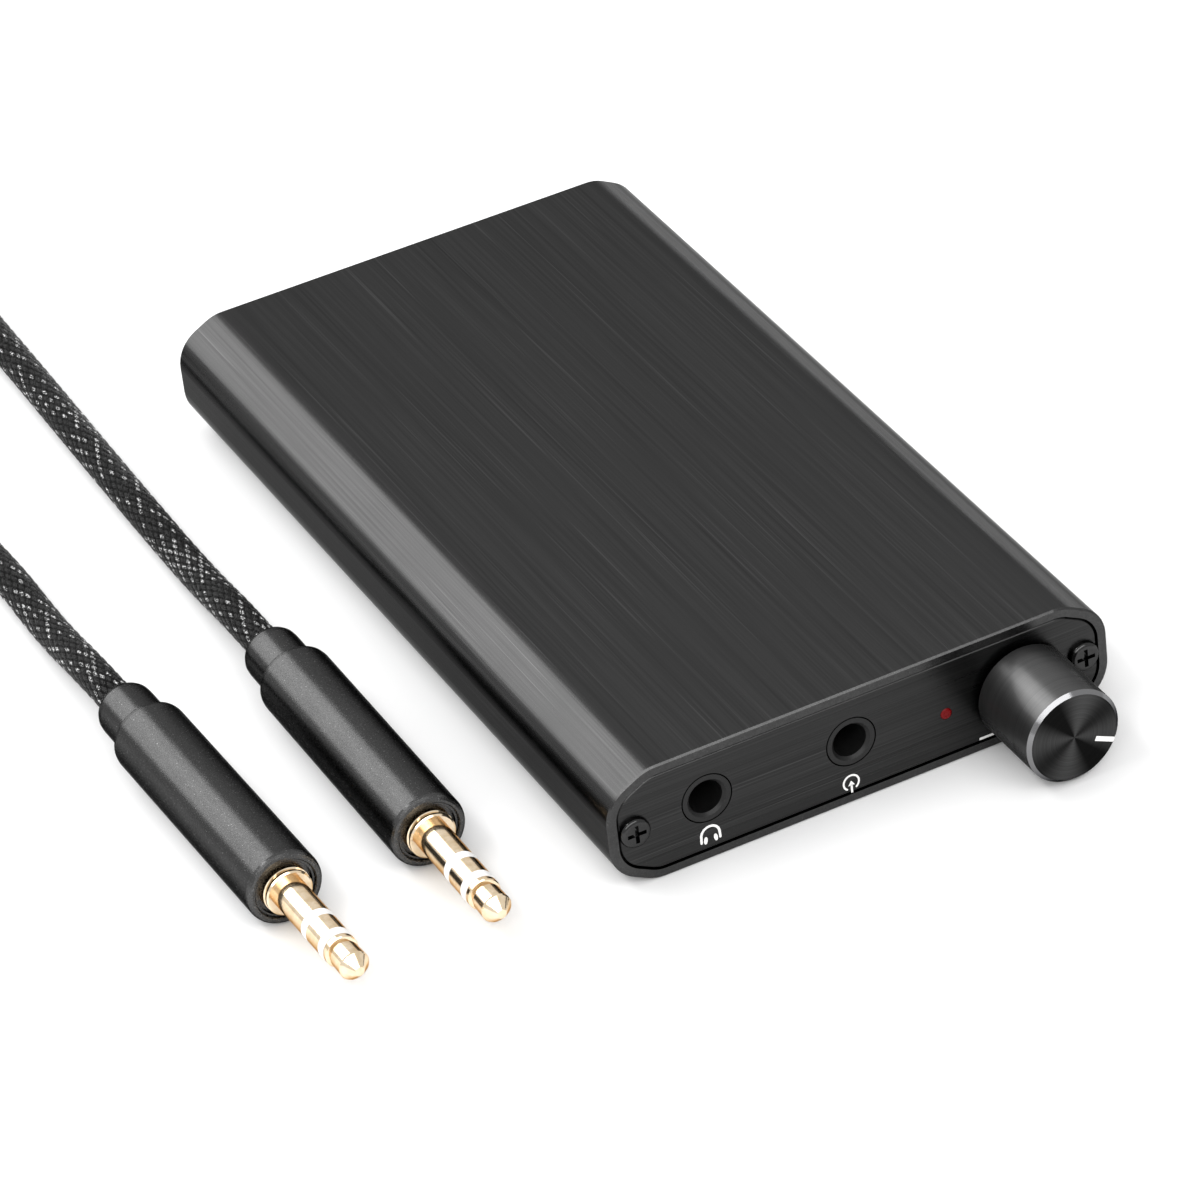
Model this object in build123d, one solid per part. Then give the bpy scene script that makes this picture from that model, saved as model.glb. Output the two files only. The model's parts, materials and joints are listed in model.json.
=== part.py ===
from build123d import *
from math import cos, pi, radians, sin, tan

# Pocket headphone amplifier: a flat extruded aluminium sleeve closed by two screwed end
# panels, a circuit board with two 3.5 mm jacks, a volume control and a lithium cell inside,
# and the amplifier's braided 3.5 mm patch lead lying beside it.
# Frame: X across the front from left to right, Y from the front to the back, Z up. The
# origin is the middle of the amplifier's own box, on the surface that it stands on.

# Case
CASE_WIDTH = 55.0
CASE_HEIGHT = 13.0
CASE_LENGTH = 100.0
CHAMFER_WIDTH = 4.55
CHAMFER_HEIGHT = 2.4
TOP_CORNER_RADIUS = 4.2
SIDE_CORNER_RADIUS = 4.3
WALL = 1.0
RIM_BEVEL = 0.18
PANEL_RECESS = 0.1
PANEL_THICKNESS = 1.5
PANEL_CLEARANCE = 0.17
PANEL_EDGE_BEVEL = 0.12
RAIL_THICKNESS = 0.9
RAIL_REACH = 2.4
RAIL_GAP = 0.05

# Knob and its control
KNOB_RADIUS = 5.1
KNOB_PROUD = 10.1
KNOB_GAP = 0.3
KNOB_X = 17.7
KNOB_Z = 5.6
KNOB_BEVEL = 0.42
KNOB_FACE_THICKNESS = 1.9
KNOB_BORE_RADIUS = 4.0
INDEX_ANGLE = 115.0
INDEX_WIDTH = 0.55
INDEX_START_RADIUS = 2.5
INDEX_DEPTH = 0.3
SHAFT_RADIUS = 3.0
SHAFT_CLEARANCE = 0.05
SHAFT_FLAT_DEPTH = 0.8
HUB_DEPTH_IN_FRONT = 1.2
BUSHING_RADIUS = 3.5
BUSHING_FLANGE_RADIUS = 4.2
BUSHING_FLANGE_THICKNESS = 1.0
BUSHING_PROUD = 0.3
CONTROL_HALF_WIDTH = 4.8
CONTROL_BOTTOM_Z = 1.2
CONTROL_TOP_Z = 10.3
CONTROL_DEPTH = 5.6
CONTROL_SETBACK = 1.3
CONTROL_FRONT_WALL = 0.8
CONTROL_EDGE_BEVEL = 0.7
CONTROL_CAVITY_RADIUS = 4.1
SWITCH_DEPTH = 3.4

# Screws
SCREW_X = 24.75
SCREW_HEAD_RADIUS = 1.62
SCREW_HEAD_HEIGHT = 0.7
SCREW_CROWN_RADIUS = 0.5
SCREW_RECESS_DEPTH = 0.5
SCREW_RECESS_REACH = 1.0
SCREW_RECESS_WIDTH = 0.42
SCREW_RADIUS = 0.98
SCREW_LENGTH = 7.0
SCREW_BOSS_RADIUS = 1.9

# Jacks, indicator and charging socket
JACK_XS = {"headphone": -16.83, "input": -1.08}
JACK_Z = 7.0
JACK_BORE_RADIUS = 1.8
JACK_NOZZLE_RADIUS = 2.6
JACK_HOLE_RADIUS = 2.74
JACK_LENGTH = 14.2
JACK_HALF_WIDTH = 3.3
JACK_TOP_Z = 9.7
INDICATOR_X = 9.37
INDICATOR_Z = 5.9
INDICATOR_RADIUS = 0.62
USB_X = 12.0
USB_WIDTH = 7.5
USB_HEIGHT = 2.6
USB_DEPTH = 5.6

# Circuit board and what stands on it
BOARD_BOTTOM_Z = 3.2
BOARD_TOP_Z = 4.4
BOARD_HALF_WIDTH = 25.3
BOARD_END_GAP = 0.4
BATTERY_WIDTH = 34.0
BATTERY_LENGTH = 46.0
BATTERY_THICKNESS = 5.2
BATTERY_FRONT_Y = 1.0
TAPE_THICKNESS = 0.4
WIRE_RADIUS = 0.5

# Patch lead
CORD_RADIUS = 1.85
PLUG_RADIUS = 4.0
PLUG_BACK_PLACES = {"a": (-56.0, 6.1), "b": (-39.75, 6.3)}
PLUG_TURNS = {"a": 1.35, "b": 0.0}
COLLAR_LENGTH = 6.0
COLLAR_RADIUS = 3.05
BARREL_LENGTH = 31.0
CONTACT_RADIUS = 1.75
CONTACT_LENGTH = 14.8
FLANGE_RADIUS = 2.5
FLANGE_LENGTH = 0.9
COIL_CENTRE = (-61.0, 132.0)
COIL_OUTER_TURN_RADIUS = 22.5
COIL_INNER_TURN_RADIUS = 18.8
COIL_HEIGHT = 7.4
COIL_EDGE_RADIUS = 1.8
TIE_THICKNESS = 0.5
TIE_WIDTH = 6.0


def behind_plug(name, distance):
    """A point on a plug's axis, that far behind its collar. The plug lies on its barrel."""
    x, y = PLUG_BACK_PLACES[name]
    turn = radians(PLUG_TURNS[name])
    return (x - distance * sin(turn), y + distance * cos(turn), PLUG_RADIUS)


# The cord's route from plug a to the coil, and from the coil to plug b
ROUTE_A = [
    behind_plug("a", 0.0),
    behind_plug("a", 7.5),
    (-55.9, 25.5, CORD_RADIUS),
    (-55.6, 38.0, CORD_RADIUS),
    (-56.6, 54.0, CORD_RADIUS),
    (-61.6, 73.0, CORD_RADIUS),
    (-70.2, 90.0, CORD_RADIUS),
    (-78.8, 105.0, CORD_RADIUS),
    (-83.3, 119.0, CORD_RADIUS),
    (COIL_CENTRE[0] - COIL_OUTER_TURN_RADIUS, COIL_CENTRE[1], CORD_RADIUS),
]
ROUTE_B = [
    (COIL_CENTRE[0] + COIL_OUTER_TURN_RADIUS, COIL_CENTRE[1], 5.45),
    (-38.5, 121.0, 5.3),
    (-38.4, 107.0, 2.5),
    (-38.3, 90.0, CORD_RADIUS),
    (-38.6, 68.0, CORD_RADIUS),
    (-39.0, 46.0, CORD_RADIUS),
    (-39.2, 25.5, CORD_RADIUS),
    behind_plug("b", 7.5),
    behind_plug("b", 0.0),
]

# Places that follow from the sizes above
REAR_PROUD = SCREW_HEAD_HEIGHT - PANEL_RECESS
FRONT_Y = (KNOB_PROUD - REAR_PROUD - CASE_LENGTH) / 2
REAR_Y = FRONT_Y + CASE_LENGTH
MIDDLE_Z = CASE_HEIGHT / 2
PANEL_FACE_Y = FRONT_Y + PANEL_RECESS
PANEL_BACK_Y = PANEL_FACE_Y + PANEL_THICKNESS
REAR_PANEL_FACE_Y = REAR_Y - PANEL_RECESS
REAR_PANEL_BACK_Y = REAR_PANEL_FACE_Y - PANEL_THICKNESS
CONTROL_FRONT_Y = PANEL_BACK_Y + CONTROL_SETBACK
CONTROL_BACK_Y = CONTROL_FRONT_Y + CONTROL_DEPTH
SWITCH_BACK_Y = CONTROL_BACK_Y + SWITCH_DEPTH
TOUCH_GAP = 0.02

parts = {}


def block(x0, x1, y0, y1, z0, z1):
    """A box between two corners."""
    middle = Pos((x0 + x1) / 2, (y0 + y1) / 2, (z0 + z1) / 2)
    return middle * Box(x1 - x0, y1 - y0, z1 - z0)


def rod_y(radius, y0, y1, x, z):
    """A round rod along Y."""
    return Pos(x, (y0 + y1) / 2, z) * Rot(90, 0, 0) * Cylinder(radius, y1 - y0)


def rod_z(radius, z0, z1, x, y):
    """A round rod along Z."""
    return Pos(x, y, (z0 + z1) / 2) * Cylinder(radius, z1 - z0)


def slab(face, y0, y1):
    """A section drawn across X and Z, extruded from y0 to y1."""
    plane = Plane(origin=(0, y1, 0), x_dir=(1, 0, 0), z_dir=(0, -1, 0))
    return extrude(plane * face, y1 - y0)


def turned(profile, x=0.0, z=0.0):
    """A solid of revolution about a line along Y, from (radius, y) points."""
    face = make_face(Polyline(*profile, close=True))
    return Pos(x, 0, z) * revolve(face, Axis.Y, 360)


def both_sides(solid):
    """The solid and its mirror image across the middle plane."""
    return [solid, mirror(solid, Plane.YZ)]


def joined(pieces):
    """Separate solids kept side by side in one node."""
    solids = []
    for piece in pieces:
        solids.extend(piece.solids())
    return Compound(children=solids)


def case_section(inset=0.0):
    """The flat octagon with rounded corners, moved inward by inset."""
    x, z = CASE_WIDTH / 2, CASE_HEIGHT / 2
    quarter = [(x - CHAMFER_WIDTH, z), (x, z - CHAMFER_HEIGHT)]
    lower = [(px, -pz) for px, pz in reversed(quarter)]
    right = quarter + lower
    left = [(-px, pz) for px, pz in reversed(right)]
    radii = [TOP_CORNER_RADIUS, SIDE_CORNER_RADIUS, SIDE_CORNER_RADIUS, TOP_CORNER_RADIUS]
    outline = FilletPolyline(*(right + left), radius=radii + radii, close=True)
    face = make_face(outline)
    if inset:
        face = offset(face, -inset)
    return Pos(0, MIDDLE_Z) * face


def build_case_shell():
    """The sleeve with its screw channels and the rails under the board."""
    sleeve = slab(case_section(), FRONT_Y, REAR_Y)
    ends = sleeve.faces().filter_by(Axis.Y).edges()
    sleeve = chamfer(ends, RIM_BEVEL)
    sleeve -= slab(case_section(WALL), FRONT_Y - 1, REAR_Y + 1)
    inside = slab(case_section(WALL / 2), PANEL_BACK_Y, REAR_PANEL_BACK_Y)
    boss = rod_y(SCREW_BOSS_RADIUS, PANEL_BACK_Y, REAR_PANEL_BACK_Y, SCREW_X, MIDDLE_Z)
    inner_half_width = CASE_WIDTH / 2 - WALL
    rail = block(
        inner_half_width - RAIL_REACH, CASE_WIDTH / 2,
        PANEL_BACK_Y, REAR_PANEL_BACK_Y,
        BOARD_BOTTOM_Z - RAIL_GAP - RAIL_THICKNESS, BOARD_BOTTOM_Z - RAIL_GAP,
    )
    for solid in both_sides((boss + rail) & inside):
        sleeve += solid
    hole_radius = SCREW_RADIUS + TOUCH_GAP
    for x in (-SCREW_X, SCREW_X):
        sleeve -= rod_y(hole_radius, PANEL_BACK_Y - 1, PANEL_BACK_Y + SCREW_LENGTH, x, MIDDLE_Z)
        sleeve -= rod_y(
            hole_radius, REAR_PANEL_BACK_Y - SCREW_LENGTH, REAR_PANEL_BACK_Y + 1, x, MIDDLE_Z
        )
    return sleeve


def panel_blank(face_y, back_y):
    """An end plate with its two screw holes and a bevelled outer edge."""
    low, high = min(face_y, back_y), max(face_y, back_y)
    plate = slab(case_section(WALL + PANEL_CLEARANCE), low, high)
    outer_faces = plate.faces().filter_by(Axis.Y).sort_by(Axis.Y)
    outer = outer_faces[0] if face_y < back_y else outer_faces[-1]
    plate = chamfer(outer.edges(), PANEL_EDGE_BEVEL)
    for x in (-SCREW_X, SCREW_X):
        plate -= rod_y(SCREW_RADIUS + 0.1, low - 1, high + 1, x, MIDDLE_Z)
    return plate


def build_front_panel():
    plate = panel_blank(PANEL_FACE_Y, PANEL_BACK_Y)
    holes = [(x, JACK_Z, JACK_HOLE_RADIUS) for x in JACK_XS.values()]
    holes.append((INDICATOR_X, INDICATOR_Z, INDICATOR_RADIUS + TOUCH_GAP))
    holes.append((KNOB_X, KNOB_Z, BUSHING_RADIUS + 0.1))
    for x, z, radius in holes:
        plate -= rod_y(radius, PANEL_FACE_Y - 1, PANEL_BACK_Y + 1, x, z)
    return plate


def usb_middle_z():
    return BOARD_TOP_Z + 0.05 + USB_HEIGHT / 2


def build_rear_panel():
    plate = panel_blank(REAR_PANEL_FACE_Y, REAR_PANEL_BACK_Y)
    mouth = Pos(USB_X, usb_middle_z()) * RectangleRounded(USB_WIDTH + 0.5, USB_HEIGHT + 0.5, 0.8)
    return plate - slab(mouth, REAR_PANEL_BACK_Y - 1, REAR_PANEL_FACE_Y + 1)


def build_screw(x, seat_y, way):
    """A pan head cross-recess screw. way is -1 when its head faces the front."""
    head_y = seat_y + way * SCREW_HEAD_HEIGHT
    head = rod_y(SCREW_HEAD_RADIUS, min(seat_y, head_y), max(seat_y, head_y), x, MIDDLE_Z)
    crown = head.edges().filter_by(GeomType.CIRCLE).sort_by(Axis.Y)
    head = fillet(crown[0] if way < 0 else crown[-1], SCREW_CROWN_RADIUS)
    end_y = seat_y - way * SCREW_LENGTH
    shank = rod_y(SCREW_RADIUS, min(seat_y, end_y), max(seat_y, end_y), x, MIDDLE_Z)
    recess_y = head_y - way * SCREW_RECESS_DEPTH
    low, high = min(recess_y, head_y + way), max(recess_y, head_y + way)
    reach, half = SCREW_RECESS_REACH, SCREW_RECESS_WIDTH / 2
    across = block(x - reach, x + reach, low, high, MIDDLE_Z - half, MIDDLE_Z + half)
    upright = block(x - half, x + half, low, high, MIDDLE_Z - reach, MIDDLE_Z + reach)
    return head + shank - across - upright


def build_screws(seat_y, way):
    return joined([build_screw(x, seat_y, way) for x in (-SCREW_X, SCREW_X)])


# Board

LEG_HOLE_RADIUS = 0.72


def jack_leg_places(x):
    """Where the tip, ring and sleeve legs of a jack pass through the board."""
    side = JACK_HALF_WIDTH + 0.2
    return {
        "tip": (x - side, PANEL_FACE_Y + 12.4),
        "ring": (x + side, PANEL_FACE_Y + 9.2),
        "sleeve": (x + side, PANEL_FACE_Y + 4.6),
    }


def build_circuit_board():
    board = block(
        -BOARD_HALF_WIDTH, BOARD_HALF_WIDTH,
        PANEL_BACK_Y + BOARD_END_GAP, REAR_PANEL_BACK_Y - BOARD_END_GAP,
        BOARD_BOTTOM_Z, BOARD_TOP_Z,
    )
    notch_half = CONTROL_HALF_WIDTH + 0.3
    board -= block(
        KNOB_X - notch_half, KNOB_X + notch_half,
        PANEL_BACK_Y - 1, SWITCH_BACK_Y + 0.3,
        BOARD_BOTTOM_Z - 1, BOARD_TOP_Z + 1,
    )
    for x in JACK_XS.values():
        for leg_x, leg_y in jack_leg_places(x).values():
            board -= rod_z(LEG_HOLE_RADIUS, BOARD_BOTTOM_Z - 1, BOARD_TOP_Z + 1, leg_x, leg_y)
    return board


# Jacks

TIP_WINDOW = (10.4, 13.4)
RING_WINDOW = (7.2, 10.2)
SLEEVE_WINDOW = (3.6, 5.6)
SPRING_THICKNESS = 0.25
SPRING_WIDTH = 1.2
LEG_THICKNESS = 0.3


def build_jack_housing(x):
    """A moulded socket body with a round nozzle, a plain bore and windows for its springs."""
    body_y = PANEL_BACK_Y + 0.1
    end_y = PANEL_FACE_Y + JACK_LENGTH
    housing = block(
        x - JACK_HALF_WIDTH, x + JACK_HALF_WIDTH, body_y, end_y, BOARD_TOP_Z, JACK_TOP_Z
    )
    housing = fillet(housing.edges().filter_by(Axis.Y), 0.4)
    housing += rod_y(JACK_NOZZLE_RADIUS, PANEL_FACE_Y, body_y + 0.2, x, JACK_Z)
    housing -= rod_y(JACK_BORE_RADIUS, PANEL_FACE_Y - 1, end_y + 1, x, JACK_Z)
    lead_in = [
        (0, PANEL_FACE_Y - 0.1), (JACK_BORE_RADIUS + 0.4, PANEL_FACE_Y - 0.1),
        (JACK_BORE_RADIUS, PANEL_FACE_Y + 0.3), (0, PANEL_FACE_Y + 0.3),
    ]
    housing -= turned(lead_in, x, JACK_Z)
    half = SPRING_WIDTH / 2 + 0.15
    for way, window in ((-1, TIP_WINDOW), (1, RING_WINDOW)):
        near, far = x + way * (JACK_BORE_RADIUS - 0.6), x + way * (JACK_HALF_WIDTH + 1)
        housing -= block(
            min(near, far), max(near, far),
            PANEL_FACE_Y + window[0], PANEL_FACE_Y + window[1],
            JACK_Z - half, JACK_Z + half,
        )
    housing -= block(
        x - half, x + half,
        PANEL_FACE_Y + SLEEVE_WINDOW[0], PANEL_FACE_Y + SLEEVE_WINDOW[1],
        JACK_Z + JACK_BORE_RADIUS - 0.6, JACK_TOP_Z + 1,
    )
    return housing


def build_side_spring(x, way, window, leg):
    """A bent contact leaf in a side window, with its solder leg outside the housing."""
    leg_x, leg_y = leg
    contact = JACK_BORE_RADIUS + 0.07 + SPRING_THICKNESS / 2
    start_y, end_y = PANEL_FACE_Y + window[0] + 0.3, PANEL_FACE_Y + window[1] - 0.3
    leaf_line = Polyline(
        (x + way * (contact + 0.7), start_y),
        (x + way * contact, start_y + 0.8),
        (x + way * contact, start_y + 1.2),
        (leg_x, end_y),
    )
    leaf_face = trace(leaf_line, SPRING_THICKNESS)
    leaf = Pos(0, 0, JACK_Z - SPRING_WIDTH / 2) * extrude(leaf_face, SPRING_WIDTH)
    half = LEG_THICKNESS / 2
    leg_solid = block(
        leg_x - half, leg_x + half, leg_y - 0.55, leg_y + 0.75,
        BOARD_BOTTOM_Z - 0.8, JACK_Z + SPRING_WIDTH / 2,
    )
    narrow = block(
        leg_x - 2, leg_x + 2, leg_y - 0.45, leg_y + 0.45,
        BOARD_BOTTOM_Z - 2, BOARD_TOP_Z + 0.3,
    )
    wide_low = block(
        leg_x - 2, leg_x + 2, leg_y - 2, leg_y + 2, BOARD_BOTTOM_Z - 2, BOARD_TOP_Z + 0.3
    )
    leg_solid = (leg_solid - wide_low) + (leg_solid & narrow)
    return leaf + leg_solid


def build_sleeve_spring(x, leg):
    """The top contact, strapped over the housing and down its side."""
    leg_x, leg_y = leg
    half_width = SPRING_WIDTH / 2
    half = LEG_THICKNESS / 2
    low_z = JACK_Z + JACK_BORE_RADIUS + 0.07
    strap_z = JACK_TOP_Z + 0.03
    finger = block(
        x - half_width, x + half_width, leg_y - 0.5, leg_y - 0.25,
        low_z, strap_z + SPRING_THICKNESS,
    )
    foot = block(
        x - half_width, x + half_width, leg_y - 0.5, leg_y + 0.5,
        low_z, low_z + SPRING_THICKNESS,
    )
    strap = block(
        x - half_width, leg_x + half, leg_y - 0.5, leg_y + 0.45,
        strap_z, strap_z + SPRING_THICKNESS,
    )
    leg_solid = block(
        leg_x - half, leg_x + half, leg_y - 0.45, leg_y + 0.45,
        BOARD_BOTTOM_Z - 0.8, strap_z + SPRING_THICKNESS,
    )
    return finger + foot + strap + leg_solid


# Volume control

ROTOR_GAP = 0.3
ROTOR_THICKNESS = 1.0
ROTOR_RADIUS = 3.75
FINGER_RADII = (2.0, 3.1)
FINGER_THICKNESS = 0.2
FINGER_WIDTH = 0.5
ELEMENT_THICKNESS = 0.8
ELEMENT_HOLE_RADIUS = 0.8
TERMINAL_OFFSETS = (-3.2, -1.6, 0.0, 1.6, 3.2)
TERMINAL_WIDTH = 0.7
TERMINAL_THICKNESS = 0.3
TERMINAL_EXIT_Z = 6.2
HUB_BACK_Y = FRONT_Y - HUB_DEPTH_IN_FRONT
SHAFT_FRONT_Y = FRONT_Y - KNOB_PROUD + KNOB_FACE_THICKNESS + 0.3
ROTOR_FRONT_Y = CONTROL_FRONT_Y + CONTROL_FRONT_WALL + ROTOR_GAP
ELEMENT_FRONT_Y = CONTROL_BACK_Y - ELEMENT_THICKNESS


def index_turn(solid):
    """Turn a solid about the knob's axis from twelve o'clock to the index's rest place."""
    about = Pos(KNOB_X, 0, KNOB_Z)
    return about * Rot(0, INDEX_ANGLE, 0) * Pos(-KNOB_X, 0, -KNOB_Z) * solid


def build_pot_housing():
    housing = block(
        KNOB_X - CONTROL_HALF_WIDTH, KNOB_X + CONTROL_HALF_WIDTH,
        CONTROL_FRONT_Y, CONTROL_BACK_Y, CONTROL_BOTTOM_Z, CONTROL_TOP_Z,
    )
    housing = chamfer(housing.edges().filter_by(Axis.Y), CONTROL_EDGE_BEVEL)
    housing -= rod_y(
        CONTROL_CAVITY_RADIUS, CONTROL_FRONT_Y + CONTROL_FRONT_WALL, CONTROL_BACK_Y + 1,
        KNOB_X, KNOB_Z,
    )
    return housing - rod_y(
        SHAFT_RADIUS + SHAFT_CLEARANCE, CONTROL_FRONT_Y - 1, CONTROL_BACK_Y, KNOB_X, KNOB_Z
    )


def build_pot_bushing():
    bore = SHAFT_RADIUS + SHAFT_CLEARANCE
    front_y = PANEL_FACE_Y - BUSHING_PROUD
    flange_y = CONTROL_FRONT_Y - BUSHING_FLANGE_THICKNESS
    profile = [
        (bore, front_y), (BUSHING_RADIUS - 0.2, front_y), (BUSHING_RADIUS, front_y + 0.2),
        (BUSHING_RADIUS, flange_y), (BUSHING_FLANGE_RADIUS, flange_y),
        (BUSHING_FLANGE_RADIUS, CONTROL_FRONT_Y), (bore, CONTROL_FRONT_Y),
    ]
    return turned(profile, KNOB_X, KNOB_Z)


def build_volume_shaft():
    shaft = rod_y(SHAFT_RADIUS, SHAFT_FRONT_Y, ROTOR_FRONT_Y, KNOB_X, KNOB_Z)
    shaft = chamfer(shaft.edges().filter_by(GeomType.CIRCLE).sort_by(Axis.Y)[0], 0.3)
    flat = block(
        KNOB_X - SHAFT_RADIUS, KNOB_X + SHAFT_RADIUS, SHAFT_FRONT_Y - 1, HUB_BACK_Y,
        KNOB_Z - SHAFT_RADIUS - 1, KNOB_Z - SHAFT_RADIUS + SHAFT_FLAT_DEPTH,
    )
    return shaft - index_turn(flat)


def build_pot_wiper():
    """The moulded rotor with two spring fingers that run on the resistive track."""
    back_y = ROTOR_FRONT_Y + ROTOR_THICKNESS
    rotor = rod_y(ROTOR_RADIUS, ROTOR_FRONT_Y, back_y, KNOB_X, KNOB_Z)
    for radius in FINGER_RADII:
        finger_line = Polyline(
            (-1.2, back_y - 0.2), (-0.6, back_y + 0.1), (0.9, ELEMENT_FRONT_Y - 0.25)
        )
        finger_face = trace(finger_line, FINGER_THICKNESS)
        finger = extrude(finger_face, FINGER_WIDTH)
        rotor += index_turn(Pos(KNOB_X, 0, KNOB_Z + radius) * finger)
    return rotor


def build_pot_element():
    """The phenolic disc that carries the track and closes the housing."""
    disc = rod_y(
        CONTROL_CAVITY_RADIUS - TOUCH_GAP, ELEMENT_FRONT_Y, CONTROL_BACK_Y, KNOB_X, KNOB_Z
    )
    hole = rod_y(ELEMENT_HOLE_RADIUS, ELEMENT_FRONT_Y - 1, CONTROL_BACK_Y + 1, KNOB_X, KNOB_Z)
    return disc - hole


def build_power_switch():
    """The click switch that the control carries on its back."""
    body = block(
        KNOB_X - CONTROL_HALF_WIDTH + 0.3, KNOB_X + CONTROL_HALF_WIDTH - 0.3,
        CONTROL_BACK_Y + TOUCH_GAP, SWITCH_BACK_Y, CONTROL_BOTTOM_Z + 0.3, CONTROL_TOP_Z - 0.6,
    )
    return fillet(body.edges().filter_by(Axis.Y), 0.8)


def build_pot_terminals():
    """Five flat pins that bend down from the switch's back to pads on the board."""
    foot_z = BOARD_TOP_Z + TERMINAL_THICKNESS / 2 + TOUCH_GAP
    line = Polyline(
        (SWITCH_BACK_Y + TOUCH_GAP, TERMINAL_EXIT_Z), (SWITCH_BACK_Y + 0.7, TERMINAL_EXIT_Z),
        (SWITCH_BACK_Y + 1.0, foot_z), (SWITCH_BACK_Y + 2.6, foot_z),
    )
    face = Plane.YZ * trace(line, TERMINAL_THICKNESS)
    pin = extrude(face, TERMINAL_WIDTH)
    return joined([
        Pos(KNOB_X + offset_x - TERMINAL_WIDTH / 2, 0, 0) * pin for offset_x in TERMINAL_OFFSETS
    ])


def build_volume_knob():
    front_y = FRONT_Y - KNOB_PROUD
    back_y = FRONT_Y - KNOB_GAP
    face_back_y = front_y + KNOB_FACE_THICKNESS
    profile = [
        (0, front_y), (KNOB_RADIUS - KNOB_BEVEL, front_y), (KNOB_RADIUS, front_y + KNOB_BEVEL),
        (KNOB_RADIUS, back_y - 0.25), (KNOB_RADIUS - 0.25, back_y),
        (KNOB_BORE_RADIUS, back_y), (KNOB_BORE_RADIUS, face_back_y), (0, face_back_y),
    ]
    knob = turned(profile, KNOB_X, KNOB_Z)
    notch = block(
        KNOB_X - INDEX_WIDTH / 2, KNOB_X + INDEX_WIDTH / 2,
        front_y - 1, front_y + INDEX_DEPTH,
        KNOB_Z + INDEX_START_RADIUS, KNOB_Z + KNOB_RADIUS + 1,
    )
    return knob - index_turn(notch)


def build_knob_insert():
    """The moulded hub pressed into the knob, bored for the flatted shaft."""
    front_y = FRONT_Y - KNOB_PROUD + KNOB_FACE_THICKNESS
    hub = rod_y(KNOB_BORE_RADIUS - TOUCH_GAP, front_y + TOUCH_GAP, HUB_BACK_Y, KNOB_X, KNOB_Z)
    bore_radius = SHAFT_RADIUS + TOUCH_GAP
    bore = rod_y(bore_radius, front_y - 1, FRONT_Y, KNOB_X, KNOB_Z)
    flat = block(
        KNOB_X - SHAFT_RADIUS - 1, KNOB_X + SHAFT_RADIUS + 1, front_y - 2, FRONT_Y + 1,
        KNOB_Z - SHAFT_RADIUS - 1, KNOB_Z - SHAFT_RADIUS + SHAFT_FLAT_DEPTH - TOUCH_GAP,
    )
    return hub - (bore - index_turn(flat))


# Indicator and charging socket

PIPE_FLANGE_RADIUS = 1.0
PIPE_FLANGE_THICKNESS = 0.5
LED_HALF_WIDTH = 1.5
LED_DOME_RADIUS = 0.55
USB_WALL = 0.25
USB_TONGUE_HALF_WIDTH = 1.9
USB_ROOT_HALF_WIDTH = 3.2


def build_light_pipe():
    flange_y = PANEL_BACK_Y + 0.05
    pipe = rod_y(INDICATOR_RADIUS, PANEL_FACE_Y - 0.1, PANEL_BACK_Y + 1.4, INDICATOR_X, INDICATOR_Z)
    pipe = fillet(pipe.edges().filter_by(GeomType.CIRCLE).sort_by(Axis.Y)[0], 0.2)
    return pipe + rod_y(
        PIPE_FLANGE_RADIUS, flange_y, flange_y + PIPE_FLANGE_THICKNESS, INDICATOR_X, INDICATOR_Z
    )


def build_power_led():
    front_y = PANEL_BACK_Y + 1.5
    body = block(
        INDICATOR_X - LED_HALF_WIDTH, INDICATOR_X + LED_HALF_WIDTH, front_y + 0.3, front_y + 1.3,
        BOARD_TOP_Z, INDICATOR_Z + 0.9,
    )
    return body + rod_y(LED_DOME_RADIUS, front_y, front_y + 0.5, INDICATOR_X, INDICATOR_Z)


def build_usb_shell():
    middle = Pos(USB_X, usb_middle_z())
    outer = middle * RectangleRounded(USB_WIDTH, USB_HEIGHT, 0.7)
    inner = middle * RectangleRounded(USB_WIDTH - 2 * USB_WALL, USB_HEIGHT - 2 * USB_WALL, 0.5)
    back_y = REAR_PANEL_FACE_Y - USB_DEPTH
    shell = slab(outer, back_y, REAR_PANEL_FACE_Y)
    return shell - slab(inner, back_y + 0.3, REAR_PANEL_FACE_Y + 1)


def build_usb_tongue():
    back_y = REAR_PANEL_FACE_Y - USB_DEPTH + 0.3
    middle_z = usb_middle_z()
    root = block(
        USB_X - USB_ROOT_HALF_WIDTH, USB_X + USB_ROOT_HALF_WIDTH,
        back_y + TOUCH_GAP, back_y + 1.2, middle_z - 1.0, middle_z + 1.0,
    )
    tongue = block(
        USB_X - USB_TONGUE_HALF_WIDTH, USB_X + USB_TONGUE_HALF_WIDTH,
        back_y + 1.0, REAR_PANEL_FACE_Y - 0.8, middle_z + 0.15, middle_z + 0.75,
    )
    return root + tongue


# Battery

BATTERY_BOTTOM_Z = BOARD_TOP_Z + TAPE_THICKNESS
TAPE_HALF_WIDTH = 11.0
TAPE_FRONT_Y = 8.0
TAPE_BACK_Y = 42.0
PROTECTION_HALF_WIDTH = 13.0
SOCKET_X = -16.0
SOCKET_HALF_WIDTH = 3.2
SOCKET_TOP_Z = 9.2
SOCKET_WALL = 0.7
BATTERY_PLUG_GAP = 0.1
SOCKET_FRONT_Y = -15.0
SOCKET_BACK_Y = -9.0
WIRE_Z = 7.2
WIRE_BEND = 1.2


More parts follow.
